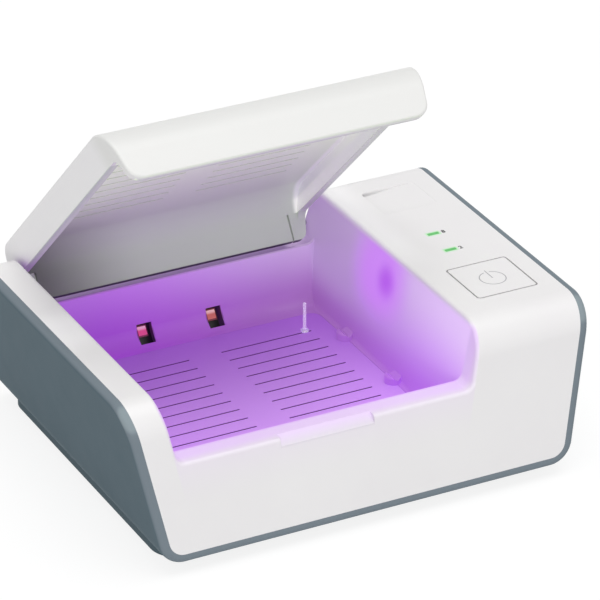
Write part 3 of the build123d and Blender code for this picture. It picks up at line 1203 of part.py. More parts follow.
def make_heater_strip():
    """Flat heating element bonded under the grille, between its two slot fields."""
    return plate(FAN_X, FAN_Y, HEATER_WIDTH, HEATER_LENGTH, HEATER_THICKNESS / 2,
                 GRILLE_UNDER - HEATER_THICKNESS, GRILLE_UNDER)


def make_thermal_cutoff():
    """Safety cut-off bonded beside the heater's rear end."""
    front = FAN_Y + HEATER_LENGTH / 2 + CUTOFF_GAP
    return block((FAN_X - CUTOFF_LENGTH / 2, FAN_X + CUTOFF_LENGTH / 2),
                 (front, front + CUTOFF_WIDTH), (GRILLE_UNDER - CUTOFF_HEIGHT, GRILLE_UNDER))


# ---------------------------------------------------------------- inner cables
def make_fan_cable():
    """Lead from the fan's side to the control board's underside."""
    riser = CABLE_RISER_X + CABLE_BEND
    z = FAN_UNDER + FAN_HEIGHT / 2
    return cable([(FAN_X + FAN_SIZE / 2, FAN_Y, z), (riser, FAN_Y, z),
                  (riser, FAN_Y, BOARD_UNDER)])


def make_uv_cable():
    """Lead from the lamp board's end to the control board's underside."""
    start = UV_PLANE.from_local_coords(
        Vector(UV_BOARD_LENGTH / 2, 0, UV_BOARD_THICKNESS / 2 - UV_BOARD_BACK))
    x_end = BASE_SCREW_X - SCREW_BOSS_RADIUS - CABLE_GAP
    y_end = CONTROL_BOARD_REAR_Y - UV_CABLE_FROM_REAR
    return cable([(start.X, start.Y, start.Z), (x_end, start.Y, start.Z), (x_end, y_end, start.Z),
                  (x_end, y_end, BOARD_UNDER)])


def make_power_cable():
    """Lead from the power board to the control board."""
    z = POWER_BOARD_TOP - BOARD_THICKNESS / 2
    y_end = CONTROL_BOARD_REAR_Y - REAR_POST_FROM_REAR - POWER_CABLE_FROM_POST
    return cable([(SOCKET_X, POWER_BOARD_FRONT, z), (SOCKET_X, y_end, z),
                  (SOCKET_X, y_end, BOARD_UNDER)])


# ---------------------------------------------------------------- write every piece
HOUSING_PIECES = {
    "outer_shell": make_outer_shell,
    "top_cover": make_top_cover,
    "floor_grille": make_floor_grille,
    "tube_peg": make_tube_peg,
    "base_cover": make_base_cover,
    "rubber_feet": make_rubber_feet,
    "base_screws": make_base_screws,
    "button_cap": make_button_cap,
    "switch_plunger": make_switch_plunger,
    "button_switch": make_button_switch,
    "control_board": make_control_board,
    "board_screws": make_board_screws,
    "light_bars": make_light_bars,
    "status_leds": make_status_leds,
    "lid_sensor": make_lid_sensor,
    "uv_led_board": make_uv_led_board,
    "uv_leds": make_uv_leds,
    "uv_board_screws": make_uv_screws,
    "power_socket": make_power_socket,
    "power_board": make_power_board,
    "regulator": make_regulator,
    "fan_frame": make_fan_frame,
    "fan_bearing": make_fan_bearing,
    "fan_stator": make_fan_stator,
    "fan_shaft": make_fan_shaft,
    "fan_impeller": make_fan_impeller,
    "fan_screws": make_fan_screws,
    "heater_strip": make_heater_strip,
    "thermal_cutoff": make_thermal_cutoff,
    "fan_cable": make_fan_cable,
    "uv_cable": make_uv_cable,
    "power_cable": make_power_cable,
}
LID_PIECES = {
    "lid_cover": make_lid_cover,
    "lid_liner": make_lid_liner,
    "lid_magnet": lambda: magnet_form(0),
    "hinge_pin_left": lambda: make_hinge_pin(-1),
    "hinge_pin_right": lambda: make_hinge_pin(1),
}

for node, make in HOUSING_PIECES.items():
    write(make(), node)
for node, make in LID_PIECES.items():
    write(opened(make()), node)
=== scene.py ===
"""Hearing aid dryer: camera, studio, finishes and printed marks.

Everything is in metres in the part's own frame, +X right, +Y back, +Z up, with the
origin on the resting plane.  The chamber's violet glow is painted into the finishes,
so it stays with the part under any light.
"""
import json
from math import cos, pi, radians, sin

import bpy
import numpy as np
from mathutils import Matrix, Vector


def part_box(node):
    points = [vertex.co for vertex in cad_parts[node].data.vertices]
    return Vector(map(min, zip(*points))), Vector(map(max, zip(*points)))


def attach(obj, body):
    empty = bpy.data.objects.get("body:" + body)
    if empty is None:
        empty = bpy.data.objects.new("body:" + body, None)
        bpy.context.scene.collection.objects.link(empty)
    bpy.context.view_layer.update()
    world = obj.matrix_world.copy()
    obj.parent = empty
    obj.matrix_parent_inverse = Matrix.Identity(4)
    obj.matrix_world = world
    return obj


MM = 0.001

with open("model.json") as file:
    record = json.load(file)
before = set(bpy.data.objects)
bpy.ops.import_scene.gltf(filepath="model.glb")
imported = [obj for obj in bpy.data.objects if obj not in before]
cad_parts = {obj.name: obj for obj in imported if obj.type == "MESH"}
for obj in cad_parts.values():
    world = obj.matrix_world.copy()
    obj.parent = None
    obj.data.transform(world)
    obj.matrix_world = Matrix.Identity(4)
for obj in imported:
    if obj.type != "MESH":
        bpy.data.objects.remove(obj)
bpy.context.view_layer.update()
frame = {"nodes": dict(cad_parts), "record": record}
nodes = frame["nodes"]

# ---------------------------------------------------------------- places read from the model
COVER_LOW, COVER_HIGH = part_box("top_cover")
GRILLE_LOW, GRILLE_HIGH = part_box("floor_grille")
BUTTON_LOW, BUTTON_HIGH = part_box("button_cap")
BARS_LOW, BARS_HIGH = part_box("light_bars")
PANEL_Z = COVER_HIGH.z
FLOOR_Z = GRILLE_HIGH.z
CHAMBER_X = (GRILLE_LOW.x + GRILLE_HIGH.x) / 2
BUTTON_X = (BUTTON_LOW.x + BUTTON_HIGH.x) / 2
BUTTON_Y = (BUTTON_LOW.y + BUTTON_HIGH.y) / 2
BUTTON_Z = BUTTON_HIGH.z
LINER_LOW, LINER_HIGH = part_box("lid_liner")
BAR_FLANGE = Vector((2.05 * MM, 1.1 * MM))   # from a status bar's middle to its hidden flange's edge
BARS = (                                     # middles of the upper and the lower status bar
    (BARS_HIGH.x - BAR_FLANGE.x, BARS_HIGH.y - BAR_FLANGE.y),
    (BARS_LOW.x + BAR_FLANGE.x, BARS_LOW.y + BAR_FLANGE.y),
)
BAR_HALF = Vector((1.45 * MM, 0.5 * MM))
LAMPS_LOW, LAMPS_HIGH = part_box("uv_leds")
LAMPS_MIDDLE = (LAMPS_LOW + LAMPS_HIGH) / 2
LAMP_TILT = radians(34.6)      # the lamps look forward and this much up
LENS_FACE = max(point.co.z * sin(LAMP_TILT) - point.co.y * cos(LAMP_TILT)
                for point in nodes["uv_leds"].data.vertices)
LENS_DEPTH = 2.35 * MM         # from the windows' face in to the lenses' face
WINDOW_FACE = LENS_FACE + LENS_DEPTH
WINDOW_OFFSET = 9.35 * MM      # from the middle to each window

# ---------------------------------------------------------------- camera
CAMERA_PLACE = Vector((-0.4064, -0.80542, 0.5135))
CAMERA_AZIMUTH = radians(27.104)
CAMERA_ELEVATION = radians(27.872)
CAMERA_LENS = 258.4
CAMERA_SENSOR = 36.0


def make_camera():
    """Long lens from the front left, looking down on the panel."""
    data = bpy.data.cameras.new("camera")
    data.lens = CAMERA_LENS
    data.sensor_width = CAMERA_SENSOR
    camera = bpy.data.objects.new("camera", data)
    bpy.context.scene.collection.objects.link(camera)
    camera.location = CAMERA_PLACE
    forward = Vector((sin(CAMERA_AZIMUTH) * cos(CAMERA_ELEVATION),
                      cos(CAMERA_AZIMUTH) * cos(CAMERA_ELEVATION),
                      -sin(CAMERA_ELEVATION)))
    camera.rotation_mode = "QUATERNION"
    camera.rotation_quaternion = forward.to_track_quat("-Z", "Y")
    bpy.context.scene.camera = camera


# ---------------------------------------------------------------- node helpers
def colour(red, green, blue):
    """Colour given as it looks on a screen, 0 to 255, as the shader's linear values."""
    shares = np.array([red, green, blue]) / 255
    linear = np.where(shares <= 0.04045, shares / 12.92, ((shares + 0.055) / 1.055) ** 2.4)
    return (*linear.tolist(), 1.0)


BLACK = (0.0, 0.0, 0.0, 1.0)
CLOUD = 14 * MM                # how large the faint clouds in a moulding's colour are
GLOSS_PATCH = 6 * MM           # and the patches of uneven gloss


class Field:
    """A number that varies over a surface: one output socket, with arithmetic."""

    def __init__(self, tree, socket):
        self.tree = tree
        self.socket = socket

    def math(self, operation, *others, clamp=False):
        """The field put through one arithmetic step with other fields or numbers."""
        made = self.tree.nodes.new("ShaderNodeMath")
        made.operation = operation
        made.use_clamp = clamp
        for slot, value in zip(made.inputs, (self, *others)):
            if isinstance(value, Field):
                self.tree.links.new(value.socket, slot)
            else:
                slot.default_value = value
        return Field(self.tree, made.outputs[0])

    def __add__(self, other):
        return self.math("ADD", other)

    def __sub__(self, other):
        return self.math("SUBTRACT", other)

    def __mul__(self, other):
        return self.math("MULTIPLY", other)

    def size(self):
        """The field without its sign."""
        return self.math("ABSOLUTE")

    def rise(self, low, high):
        """0 below low, 1 above high, smooth between; falls instead where low exceeds high."""
        made = self.tree.nodes.new("ShaderNodeMapRange")
        made.interpolation_type = "SMOOTHSTEP"
        falling = low > high
        made.inputs["From Min"].default_value = min(low, high)
        made.inputs["From Max"].default_value = max(low, high)
        made.inputs["To Min"].default_value = 1.0 if falling else 0.0
        made.inputs["To Max"].default_value = 0.0 if falling else 1.0
        self.tree.links.new(self.socket, made.inputs["Value"])
        return Field(self.tree, made.outputs["Result"])


class Finish:
    """One material: a shader and the patterns that feed it."""

    def __init__(self, name, roughness, **sockets):
        self.material = bpy.data.materials.new(name)
        self.material.use_nodes = True
        self.tree = self.material.node_tree
        self.shader = self.tree.nodes["Principled BSDF"]
        place = self.tree.nodes.new("ShaderNodeTexCoord").outputs["Object"]
        self.place = place
        split = self.tree.nodes.new("ShaderNodeSeparateXYZ")
        self.tree.links.new(place, split.inputs[0])
        self.x, self.y, self.z = (Field(self.tree, socket) for socket in split.outputs)
        self.shader.inputs["Roughness"].default_value = roughness
        for socket, value in sockets.items():
            self.shader.inputs[socket.replace("_", " ")].default_value = value

    def across(self):
        """Distance to the right of the chamber's middle."""
        return self.x - CHAMBER_X

    def ahead_of_lamps(self):
        """Distance along the way that the lamps look, from the frame's origin."""
        return self.y * -cos(LAMP_TILT) + self.z * sin(LAMP_TILT)

    def noise(self, feature, detail=2.0):
        """Noise from 0 to 1 whose features are about as large as the size given."""
        made = self.tree.nodes.new("ShaderNodeTexNoise")
        made.inputs["Scale"].default_value = 1 / feature
        made.inputs["Detail"].default_value = detail
        self.tree.links.new(self.place, made.inputs["Vector"])
        return Field(self.tree, made.outputs["Fac"])

    def blend(self, share, first, second):
        """Colour that goes from the first to the second as the share goes from 0 to 1."""
        made = self.tree.nodes.new("ShaderNodeMix")
        made.data_type = "RGBA"
        self.tree.links.new(share.socket, made.inputs["Factor"])
        for slot, value in ((made.inputs[6], first), (made.inputs[7], second)):
            if isinstance(value, bpy.types.NodeSocket):
                self.tree.links.new(value, slot)
            else:
                slot.default_value = value
        return made.outputs[2]

    def paint(self, share, first, second):
        """Colour the surface between two colours by a share."""
        mixed = self.blend(share, first, second)
        self.tree.links.new(mixed, self.shader.inputs["Base Color"])
        return mixed

    def glow(self, hue, strength):
        """Light given off by the surface, as a colour socket or value and one strength."""
        if isinstance(hue, bpy.types.NodeSocket):
            self.tree.links.new(hue, self.shader.inputs["Emission Color"])
        else:
            self.shader.inputs["Emission Color"].default_value = hue
        self.shader.inputs["Emission Strength"].default_value = strength

    def vary_roughness(self, share, low, high):
        """Roughness between two values by a share."""
        made = self.tree.nodes.new("ShaderNodeMapRange")
        made.inputs["To Min"].default_value = low
        made.inputs["To Max"].default_value = high
        self.tree.links.new(share.socket, made.inputs["Value"])
        self.tree.links.new(made.outputs["Result"], self.shader.inputs["Roughness"])

    def emboss(self, height, depth):
        """Fine relief: a field from 0 to 1, as deep as the depth given."""
        made = self.tree.nodes.new("ShaderNodeBump")
        made.inputs["Strength"].default_value = 1.0
        made.inputs["Distance"].default_value = depth
        self.tree.links.new(height.socket, made.inputs["Height"])
        self.tree.links.new(made.outputs["Normal"], self.shader.inputs["Normal"])

    def texture(self, smooth, rough, grain, relief):
        """Uneven gloss between two roughnesses, and a fine spark-eroded grain."""
        self.vary_roughness(self.noise(GLOSS_PATCH), smooth, rough)
        self.emboss(self.noise(grain, detail=3.0), relief)


def moulded(name, light, dark, roughness, grain=0.35 * MM, relief=0.012 * MM):
    """Plain moulded plastic: faint cloudy colour, uneven gloss and a fine grain."""
    finish = Finish(name, roughness)
    finish.paint(finish.noise(CLOUD), light, dark)
    finish.texture(roughness - 0.05, roughness + 0.05, grain, relief)
    return finish


# ---------------------------------------------------------------- where the chamber's light falls
CHAMBER_HALF = 40.8 * MM       # half the opening's width at the top plane
CHAMBER_LEAN = 0.196           # the chamber's sides lean inward going down
CHAMBER_FRONT_Y = -39.2 * MM
CHAMBER_REAR_Y = 35.6 * MM
CHAMBER_GLOW = 0.28            # light given off by the painted violet, as a share of it

# A fade is two distances: its share is 0 at the first and 1 at the second.
VIOLET_BESIDE = (0.9 * MM, 0.3 * MM)      # outward from the chamber's side walls
VIOLET_UNDER = (0.3 * MM, 2.0 * MM)       # down from the top plane
VIOLET_FRONT = (-7.6 * MM, -2.4 * MM)     # back from the front wall, so over the lip
VIOLET_REAR = (7.0 * MM, 6.2 * MM)        # back from the rear wall, in the lid's trough


def inside_chamber(finish):
    """1 inside the chamber's walls, 0 outside, fading over the front lip."""
    drop = finish.z * -1.0 + PANEL_Z
    reach = drop * -CHAMBER_LEAN + CHAMBER_HALF
    beside = (finish.across().size() - reach).rise(*VIOLET_BESIDE)
    under = drop.rise(*VIOLET_UNDER)
    behind = (finish.y - CHAMBER_FRONT_Y).rise(*VIOLET_FRONT)
    before = (finish.y - CHAMBER_REAR_Y).rise(*VIOLET_REAR)
    return beside * under * behind * before


LOW_FROM = PANEL_Z - 3 * MM               # the front of the walls is pale above this height
LOW_TO = FLOOR_Z + 1 * MM
DEEP_FROM = PANEL_Z - 8 * MM              # and the rear of the walls above this one
DEEP_TO = FLOOR_Z + 0.5 * MM
BACK_FROM = CHAMBER_FRONT_Y + 6 * MM
RIGHT_FADE = (-20 * MM, 38 * MM)          # right from the chamber's middle, along its rear wall
RIGHT_WALL = (36 * MM, 38 * MM)           # the same, onto its right wall
SILL_FADE = (0.3 * MM, 1.0 * MM)          # back from the rear wall, onto the lid's trough
SILL_END = (34 * MM, 32 * MM)             # right from the chamber's middle
LIP_FADE = (0.4 * MM, -1.0 * MM)          # back from the front wall, onto the lip
SPOT_MIDDLE = (0.2 * MM, 34.3 * MM)       # Y and Z of the lamps' bright spot on the right wall
SPOT_FADE = (6 * MM, 0.5 * MM)
HAZE_MIDDLE = (3.5 * MM, 35.5 * MM)       # and of the wider haze round it
HAZE_FADE = (17 * MM, 5 * MM)


def painted_chamber_light(finish):
    """Painted violet lamp light on the chamber's walls: paler to the front and top, greyer in the lid's
    painted shade to the rear right.
    """
    low = finish.z.rise(LOW_FROM, LOW_TO)
    deep = finish.z.rise(DEEP_FROM, DEEP_TO)
    back = finish.y.rise(BACK_FROM, CHAMBER_REAR_Y)
    right = finish.across().rise(*RIGHT_FADE)
    side = finish.across().rise(*RIGHT_WALL)
    front_wall = finish.blend(low, colour(224, 201, 240), colour(190, 122, 228))
    rear_left = finish.blend(deep, colour(194, 128, 228), colour(170, 83, 210))
    rear_right = finish.blend(deep, colour(202, 180, 218), colour(164, 112, 184))
    rear_right = finish.blend(side, rear_right, colour(184, 160, 202))
    walls = finish.blend(back, front_wall, finish.blend(right, rear_left, rear_right))
    # Painted haze and bright spot of lamp light on the right wall.
    haze = lamp_patch(finish, HAZE_MIDDLE, HAZE_FADE) * side
    spot = lamp_patch(finish, SPOT_MIDDLE, SPOT_FADE) * side
    walls = finish.blend(haze, walls, colour(213, 148, 247))
    walls = finish.blend(spot, walls, colour(190, 104, 234))
    # Painted shadow of the lid on the sill behind the rear wall.
    sill_shade = (finish.y - CHAMBER_REAR_Y).rise(*SILL_FADE) * finish.across().rise(*SILL_END)
    walls = finish.blend(sill_shade, walls, colour(134, 96, 160))
    # Paler violet lamp light painted over the front lip.
    lip = (finish.y - CHAMBER_FRONT_Y).rise(*LIP_FADE)
    return finish.blend(lip, walls, colour(211, 188, 226))


def lamp_patch(finish, middle, fade):
    """Round patch of lamp light on the right wall, by the distance from its middle."""
    along = finish.y - middle[0]
    up = finish.z - middle[1]
    return (along * along + up * up).math("SQRT").rise(*fade)


# ---------------------------------------------------------------- painted light and shade on the white cover
WINDOW_DEEP = (-0.3 * MM, -0.9 * MM)      # forward from the windows' face, along the lamps' aim
WINDOW_NEAR = (-4.5 * MM, -4.0 * MM)
WINDOW_BESIDE = (2.4 * MM, 2.2 * MM)      # from a window's middle to its sides
WINDOW_BEYOND = (6.5 * MM, 6.0 * MM)      # up and down from it


def window_shade(finish):
    """1 on the inner sides of the two lamp windows, which are in the dark."""
    ahead = finish.ahead_of_lamps() - WINDOW_FACE
    inside = ahead.rise(*WINDOW_DEEP) * ahead.rise(*WINDOW_NEAR)
    beside = ((finish.x - LAMPS_MIDDLE.x).size() - WINDOW_OFFSET).size().rise(*WINDOW_BESIDE)
    beyond = (finish.z - LAMPS_MIDDLE.z).size().rise(*WINDOW_BEYOND)
    return inside * beside * beyond


STRIP_EDGE = 1 * MM            # width over which either strip's shade sets in at the middle
STRIP_LEVEL = (-4 * MM, -1 * MM)          # up from the top plane
RIGHT_STRIP = (9 * MM, 1 * MM)            # right from the chamber's edge
RIGHT_STRIP_ALONG = (-14 * MM, 4 * MM)    # Y where it sets in
LEFT_STRIP_START = (-14 * MM, -4 * MM)
LEFT_STRIP_END = (12 * MM, 2 * MM)


def lid_shade(finish):
    """1 on the strips beside the open lid, whose shadow is offset there by a paler painted colour."""
    across = finish.across()
    right = (across - CHAMBER_HALF).rise(*RIGHT_STRIP) * finish.y.rise(*RIGHT_STRIP_ALONG)
    right = right * across.rise(0.0, STRIP_EDGE)
    left = finish.y.rise(*LEFT_STRIP_START) * finish.y.rise(*LEFT_STRIP_END)
    left = left * across.rise(0.0, -STRIP_EDGE)
    return right.math("MAXIMUM", left) * (finish.z - PANEL_Z).rise(*STRIP_LEVEL)


FINGER_BESIDE = (12.2 * MM, 12.0 * MM)    # from the chamber's middle to the recess's ends
FINGER_BEFORE = (-1.2 * MM, -1.8 * MM)    # back from the front wall
FINGER_LEVEL = (-17.4 * MM, -16.4 * MM)   # up from the top plane


def finger_shade(finish):
    """1 on the finger recess in the front lip, which the lamps would light too much."""
    beside = finish.across().size().rise(*FINGER_BESIDE)
    before = (finish.y - CHAMBER_FRONT_Y).rise(*FINGER_BEFORE)
    return beside * before * (finish.z - PANEL_Z).rise(*FINGER_LEVEL)


TRAY_CORNER = Vector((38.25 * MM, 30.88 * MM))    # rear left corner of the battery tray
TRAY_FADE = (10 * MM, -2 * MM)            # right from that corner, along the rear wall
TRAY_LEFT = (-0.3 * MM, 0.0)
TRAY_REAR = (-0.7 * MM, -0.1 * MM)        # back from that corner
TRAY_SUNK = (-0.02 * MM, -0.5 * MM)       # up from the top plane


def tray_shade(finish):
    """Soft shade on the battery tray's rear wall, fading to the right."""
    across = finish.x - TRAY_CORNER.x
    rear = (finish.y - TRAY_CORNER.y).rise(*TRAY_REAR)
    sunk = (finish.z - PANEL_Z).rise(*TRAY_SUNK)
    return across.rise(*TRAY_FADE) * across.rise(*TRAY_LEFT) * rear * sunk


HALO_REACH = 0.8 * MM          # of the green spill round a status bar


def bar_halo(finish):
    """Green light of the status bars painted on the panel: 1 at the bars' edges and 0 a little further
    out.
    """
    spills = []
    for x, y in BARS:
        beside = ((finish.x - x).size() - BAR_HALF.x).math("MAXIMUM", 0.0)
        beyond = ((finish.y - y).size() - BAR_HALF.y).math("MAXIMUM", 0.0)
        apart = (beside * beside + beyond * beyond).math("SQRT")
        spills.append(apart.rise(HALO_REACH, 0.0))
    return spills[0].math("MAXIMUM", spills[1])


def white_plastic():
    """Glossy white moulding, with the lamps' violet light painted inside the chamber and given off
    there as a glow.
    """
    finish = Finish("white_moulding", 0.34)
    inside = inside_chamber(finish)
    white = finish.blend(finish.noise(CLOUD), colour(240, 239, 239), colour(236, 234, 235))
    # Painted light and shade: paler paint offsets the lid's shadow beside it, painted green light round
    # the status bars, painted shade on the tray's rear wall and in the finger recess.
    white = finish.blend(lid_shade(finish), white, colour(252, 251, 252))
    white = finish.blend(bar_halo(finish), white, colour(184, 244, 186))
    white = finish.blend(tray_shade(finish), white, colour(206, 205, 206))
    white = finish.blend(finger_shade(finish), white, colour(222, 219, 224))
    # The chamber's painted violet lamp light, with painted shade inside the lamp windows, also given
    # off as a painted glow.
    lamp_violet = painted_chamber_light(finish)
    lamp_violet = finish.blend(window_shade(finish), lamp_violet, colour(62, 30, 78))
    finish.paint(inside, white, lamp_violet)
    finish.glow(finish.blend(inside, BLACK, lamp_violet), CHAMBER_GLOW)
    finish.texture(0.30, 0.38, 0.4 * MM, 0.006 * MM)
    return finish


FLOOR_SLOT = (-0.05 * MM, -0.2 * MM)      # up from the floor's top


def floor_plastic():
    """The slotted floor, with the lamps' violet light painted on it and given off as a glow, deeper to
    the rear, and painted shade in its slots.
    """
    finish = Finish("chamber_floor", 0.4)
    back = finish.y.rise(CHAMBER_FRONT_Y, CHAMBER_REAR_Y)
    lamp_violet = finish.blend(back, colour(209, 155, 240), colour(160, 96, 200))
    # Painted shade down in the slots.
    slot = (finish.z - FLOOR_Z).rise(*FLOOR_SLOT)
    hue = finish.paint(slot, lamp_violet, colour(112, 58, 142))
    finish.glow(finish.blend(slot, hue, BLACK), CHAMBER_GLOW)
    finish.emboss(finish.noise(0.4 * MM, detail=3.0), 0.006 * MM)
    return finish


# ---------------------------------------------------------------- grey shell and plinth
FRONT_LEAN = 0.13              # the front face leans forward going down
FRONT_EDGE_Y = COVER_LOW.y + FRONT_LEAN * (PANEL_Z - COVER_LOW.z)
EDGE_RADIUS = 8.6 * MM         # bend from the top plane into the front
BEAD_FADE = (-1.3 * MM, -0.3 * MM)        # outward from that bend's outline
BEND_FADE = (0.34, 0.48)       # product of the two distances from the bend's axis, in squared radii


def slate_plastic(name, light, dark):
    """Slate grey moulding, with a painted highlight on the rounded bead that runs along its top and
    front edges.
    """
    finish = Finish(name, 0.55, Specular_IOR_Level=0.06)
    behind = finish.y - (finish.z - PANEL_Z) * FRONT_LEAN - FRONT_EDGE_Y
    to_front = (behind * -1.0 + EDGE_RADIUS).math("MAXIMUM", 0.0)
    to_top = (finish.z - PANEL_Z + EDGE_RADIUS).math("MAXIMUM", 0.0)
    outward = (to_front * to_front + to_top * to_top).math("SQRT") - EDGE_RADIUS
    bend_highlight = (to_front * to_top * EDGE_RADIUS ** -2).rise(*BEND_FADE)
    body = finish.blend(finish.noise(CLOUD), light, dark)
    # Painted highlight on the rounded bead, brightest at the bend.
    bead_highlight = finish.blend(bend_highlight, colour(124, 135, 143), colour(144, 156, 162))
    finish.paint(outward.rise(*BEAD_FADE), body, bead_highlight)
    finish.texture(0.5, 0.6, 0.35 * MM, 0.008 * MM)
    return finish


# ---------------------------------------------------------------- lid
LID_ANGLE = radians(44.1)      # how far open the lid is drawn
HINGE_Y = 41.61 * MM
HINGE_Z = 31.7 * MM
REAR_LEAN = 0.2                # the lid's rear flap leans backward going down

# The fades below are along Y or Z from the hinge, as they are while the lid is shut.
REAR_FLAP_Y = (-4 * MM, -3 * MM)
REAR_EDGE_Z = (-3.95 * MM, -4.1 * MM)     # lower edge of the rear flap
TAB_Z = (3.0 * MM, 2.4 * MM)              # hinge tabs
TAB_INWARD = (0.0, 0.2 * MM)              # from the rear flap's middle towards the chamber
SIDE_RIM_Z = (2.5 * MM, 2.3 * MM)         # rims of the side walls
SIDE_RIM_REAR_Y = (-3 * MM, -4 * MM)
SIDE_RIM_FRONT_Y = (-80 * MM, -79 * MM)
FRONT_RIM_Z = (-3.5 * MM, -3.9 * MM)      # rim of the front flap
FRONT_RIM_Y = (-79 * MM, -80 * MM)
FRONT_FLAP_Y = (-74 * MM, -81 * MM)
LINER_FACE_Z = 8.3 * MM                   # underside of the liner
LINER_SLOT = (0.05 * MM, 0.2 * MM)        # up from it
LINER_WALL_Z = (6.5 * MM, 5 * MM)         # side walls below their bend


def shut_place(finish):
    """Y and Z from the hinge of a place on the lid, as they are while the lid is shut."""
    behind = finish.y - HINGE_Y
    above = finish.z - HINGE_Z
    return (behind * cos(LID_ANGLE) - above * sin(LID_ANGLE),
            behind * sin(LID_ANGLE) + above * cos(LID_ANGLE))


def rear_edge(shut_y, shut_z):
    """1 on the lower edge of the lid's rear flap, painted dark as the shadow in the gap behind the
    chamber.
    """
    return shut_z.rise(*REAR_EDGE_Z) * shut_y.rise(*REAR_FLAP_Y)


def side_rim(shut_y, shut_z):
    """1 on the rims of the lid's side walls, which face the chamber's light."""
    return shut_z.rise(*SIDE_RIM_Z) * shut_y.rise(*SIDE_RIM_REAR_Y) * shut_y.rise(*SIDE_RIM_FRONT_Y)


def front_rim(shut_y, shut_z):
    """1 on the rim of the lid's front flap."""
    return shut_z.rise(*FRONT_RIM_Z) * shut_y.rise(*FRONT_RIM_Y)


def lid_plastic():
    """Lid's white outer skin: painted shade on its front flap, grey-green painted shade on its rims and
    hinge tabs that offsets the chamber's violet light, and a painted shadow on the rear flap's lower
    edge.
    """
    finish = Finish("lid_white", 0.36)
    shut_y, shut_z = shut_place(finish)
    inward = shut_z * -REAR_LEAN - shut_y
    tab = inward.rise(*TAB_INWARD) * shut_y.rise(*REAR_FLAP_Y) * shut_z.rise(*TAB_Z)
    shaded = tab.math("MAXIMUM", side_rim(shut_y, shut_z))
    white = finish.blend(finish.noise(CLOUD), colour(244, 243, 243), colour(239, 238, 239))
    # Painted shade on the front flap, grey-green painted shade on the tabs and rims against the
    # chamber's violet light, and a painted shadow on the rear flap's edge.
    white = finish.blend(shut_y.rise(*FRONT_FLAP_Y), white, colour(230, 230, 228))
    white = finish.blend(shaded, white, colour(206, 216, 202))
    white = finish.blend(front_rim(shut_y, shut_z), white, colour(225, 230, 220))
    finish.paint(rear_edge(shut_y, shut_z), white, colour(88, 74, 98))
    finish.texture(0.31, 0.41, 0.35 * MM, 0.012 * MM)
    return finish


LINER_GLOW = 0.16              # light added to the lid's inner skin, which lies in the lid's shade
UP_FROM = LINER_LOW.z + 4 * MM            # heights as drawn, over which the liner gets paler
UP_TO = LINER_HIGH.z - 14 * MM
DIM_FADE = (34 * MM, 4 * MM)              # up from the liner's lowest edge
DIM_LEFT = (-4 * MM, -42 * MM)            # right from the chamber's middle
LINER_SIDE = (35.5 * MM, 37 * MM)         # the same, onto the liner's right wall
ACROSS_LIGHT = (0.5, 0.62, 0.19, 1)       # added light at the top of the flat part, and at the
BESIDE_LIGHT = (1.0, 1.0, 0.77, 1)        # bottom of the right wall: what offsets the violet there


def liner_plastic():
    """Lid's inner skin in painted shade that looks neutral grey: darker towards the hinge, its left end
    and its slots, paler upward and on its right wall, tinted grey-green against the chamber's violet
    light, with a painted glow.
    """
    finish = Finish("liner_white", 0.42, Specular_IOR_Level=0.3)
    shut_y, shut_z = shut_place(finish)
    up = finish.z.rise(UP_FROM, UP_TO)
    dim = finish.across().rise(*DIM_LEFT) * (finish.z - LINER_LOW.z).rise(*DIM_FADE)
    side = finish.across().rise(*LINER_SIDE)
    slot = (shut_z - LINER_FACE_Z).rise(*LINER_SLOT)
    rim = side_rim(shut_y, shut_z).math("MAXIMUM", front_rim(shut_y, shut_z))
    # Painted shade, paler upward and on the right wall, darker to the left end and in the slots, tinted
    # grey-green against the violet light.
    pale = finish.blend(up, colour(206, 216, 202), colour(238, 250, 230))
    pale = finish.blend(side, pale, colour(242, 245, 243))
    pale = finish.blend(dim, pale, colour(112, 118, 108))
    pale = finish.blend(slot, pale, colour(112, 110, 114))
    pale = finish.blend(rim, pale, colour(214, 219, 210))
    finish.paint(rear_edge(shut_y, shut_z), pale, colour(88, 74, 98))
    across = finish.blend(up, BLACK, ACROSS_LIGHT)
    beside = finish.blend(up, BESIDE_LIGHT, BLACK)
    light = finish.blend(side * shut_z.rise(*LINER_WALL_Z), across, beside)
    finish.glow(finish.blend(slot.math("MAXIMUM", rim), light, BLACK), LINER_GLOW)
    finish.texture(0.38, 0.46, 0.4 * MM, 0.008 * MM)
    return finish


# ---------------------------------------------------------------- other finishes
LENS_FADE = (-0.32 * MM, -0.2 * MM)       # forward from the lenses' face, along the lamps' aim
LENS_TOP = (0.5 * MM, 1.2 * MM)           # up from the lamps' middle
LAMP_SPLIT = (-2 * MM, 2 * MM)            # right from the lamps' middle


def lamp_finish():
    """Lamp packages: a dark body and a lens, pink on the left, warmer on the right, with a painted
    highlight on the lenses' upper part.
    """
    finish = Finish("lamp_package", 0.25)
    right = (finish.x - LAMPS_MIDDLE.x).rise(*LAMP_SPLIT)
    lens = (finish.ahead_of_lamps() - LENS_FACE).rise(*LENS_FADE)
    lens_highlight = (finish.z - LAMPS_MIDDLE.z).rise(*LENS_TOP)
    body = finish.blend(right, colour(112, 26, 76), colour(112, 44, 62))
    deep = finish.blend(right, colour(226, 62, 140), colour(196, 96, 92))
    # Painted highlight on the lenses' upper part.
    pale = finish.blend(right, colour(250, 176, 210), colour(244, 190, 186))
    hue = finish.paint(lens, body, finish.blend(lens_highlight, deep, pale))
    finish.glow(hue, 0.4)
    return finish


def green_light():
    """Status bars, lit green."""
    finish = Finish("green_light", 0.3)
    hue = finish.paint(finish.noise(1.5 * MM), colour(84, 190, 94), colour(72, 172, 84))
    finish.glow(hue, 0.15)
    return finish


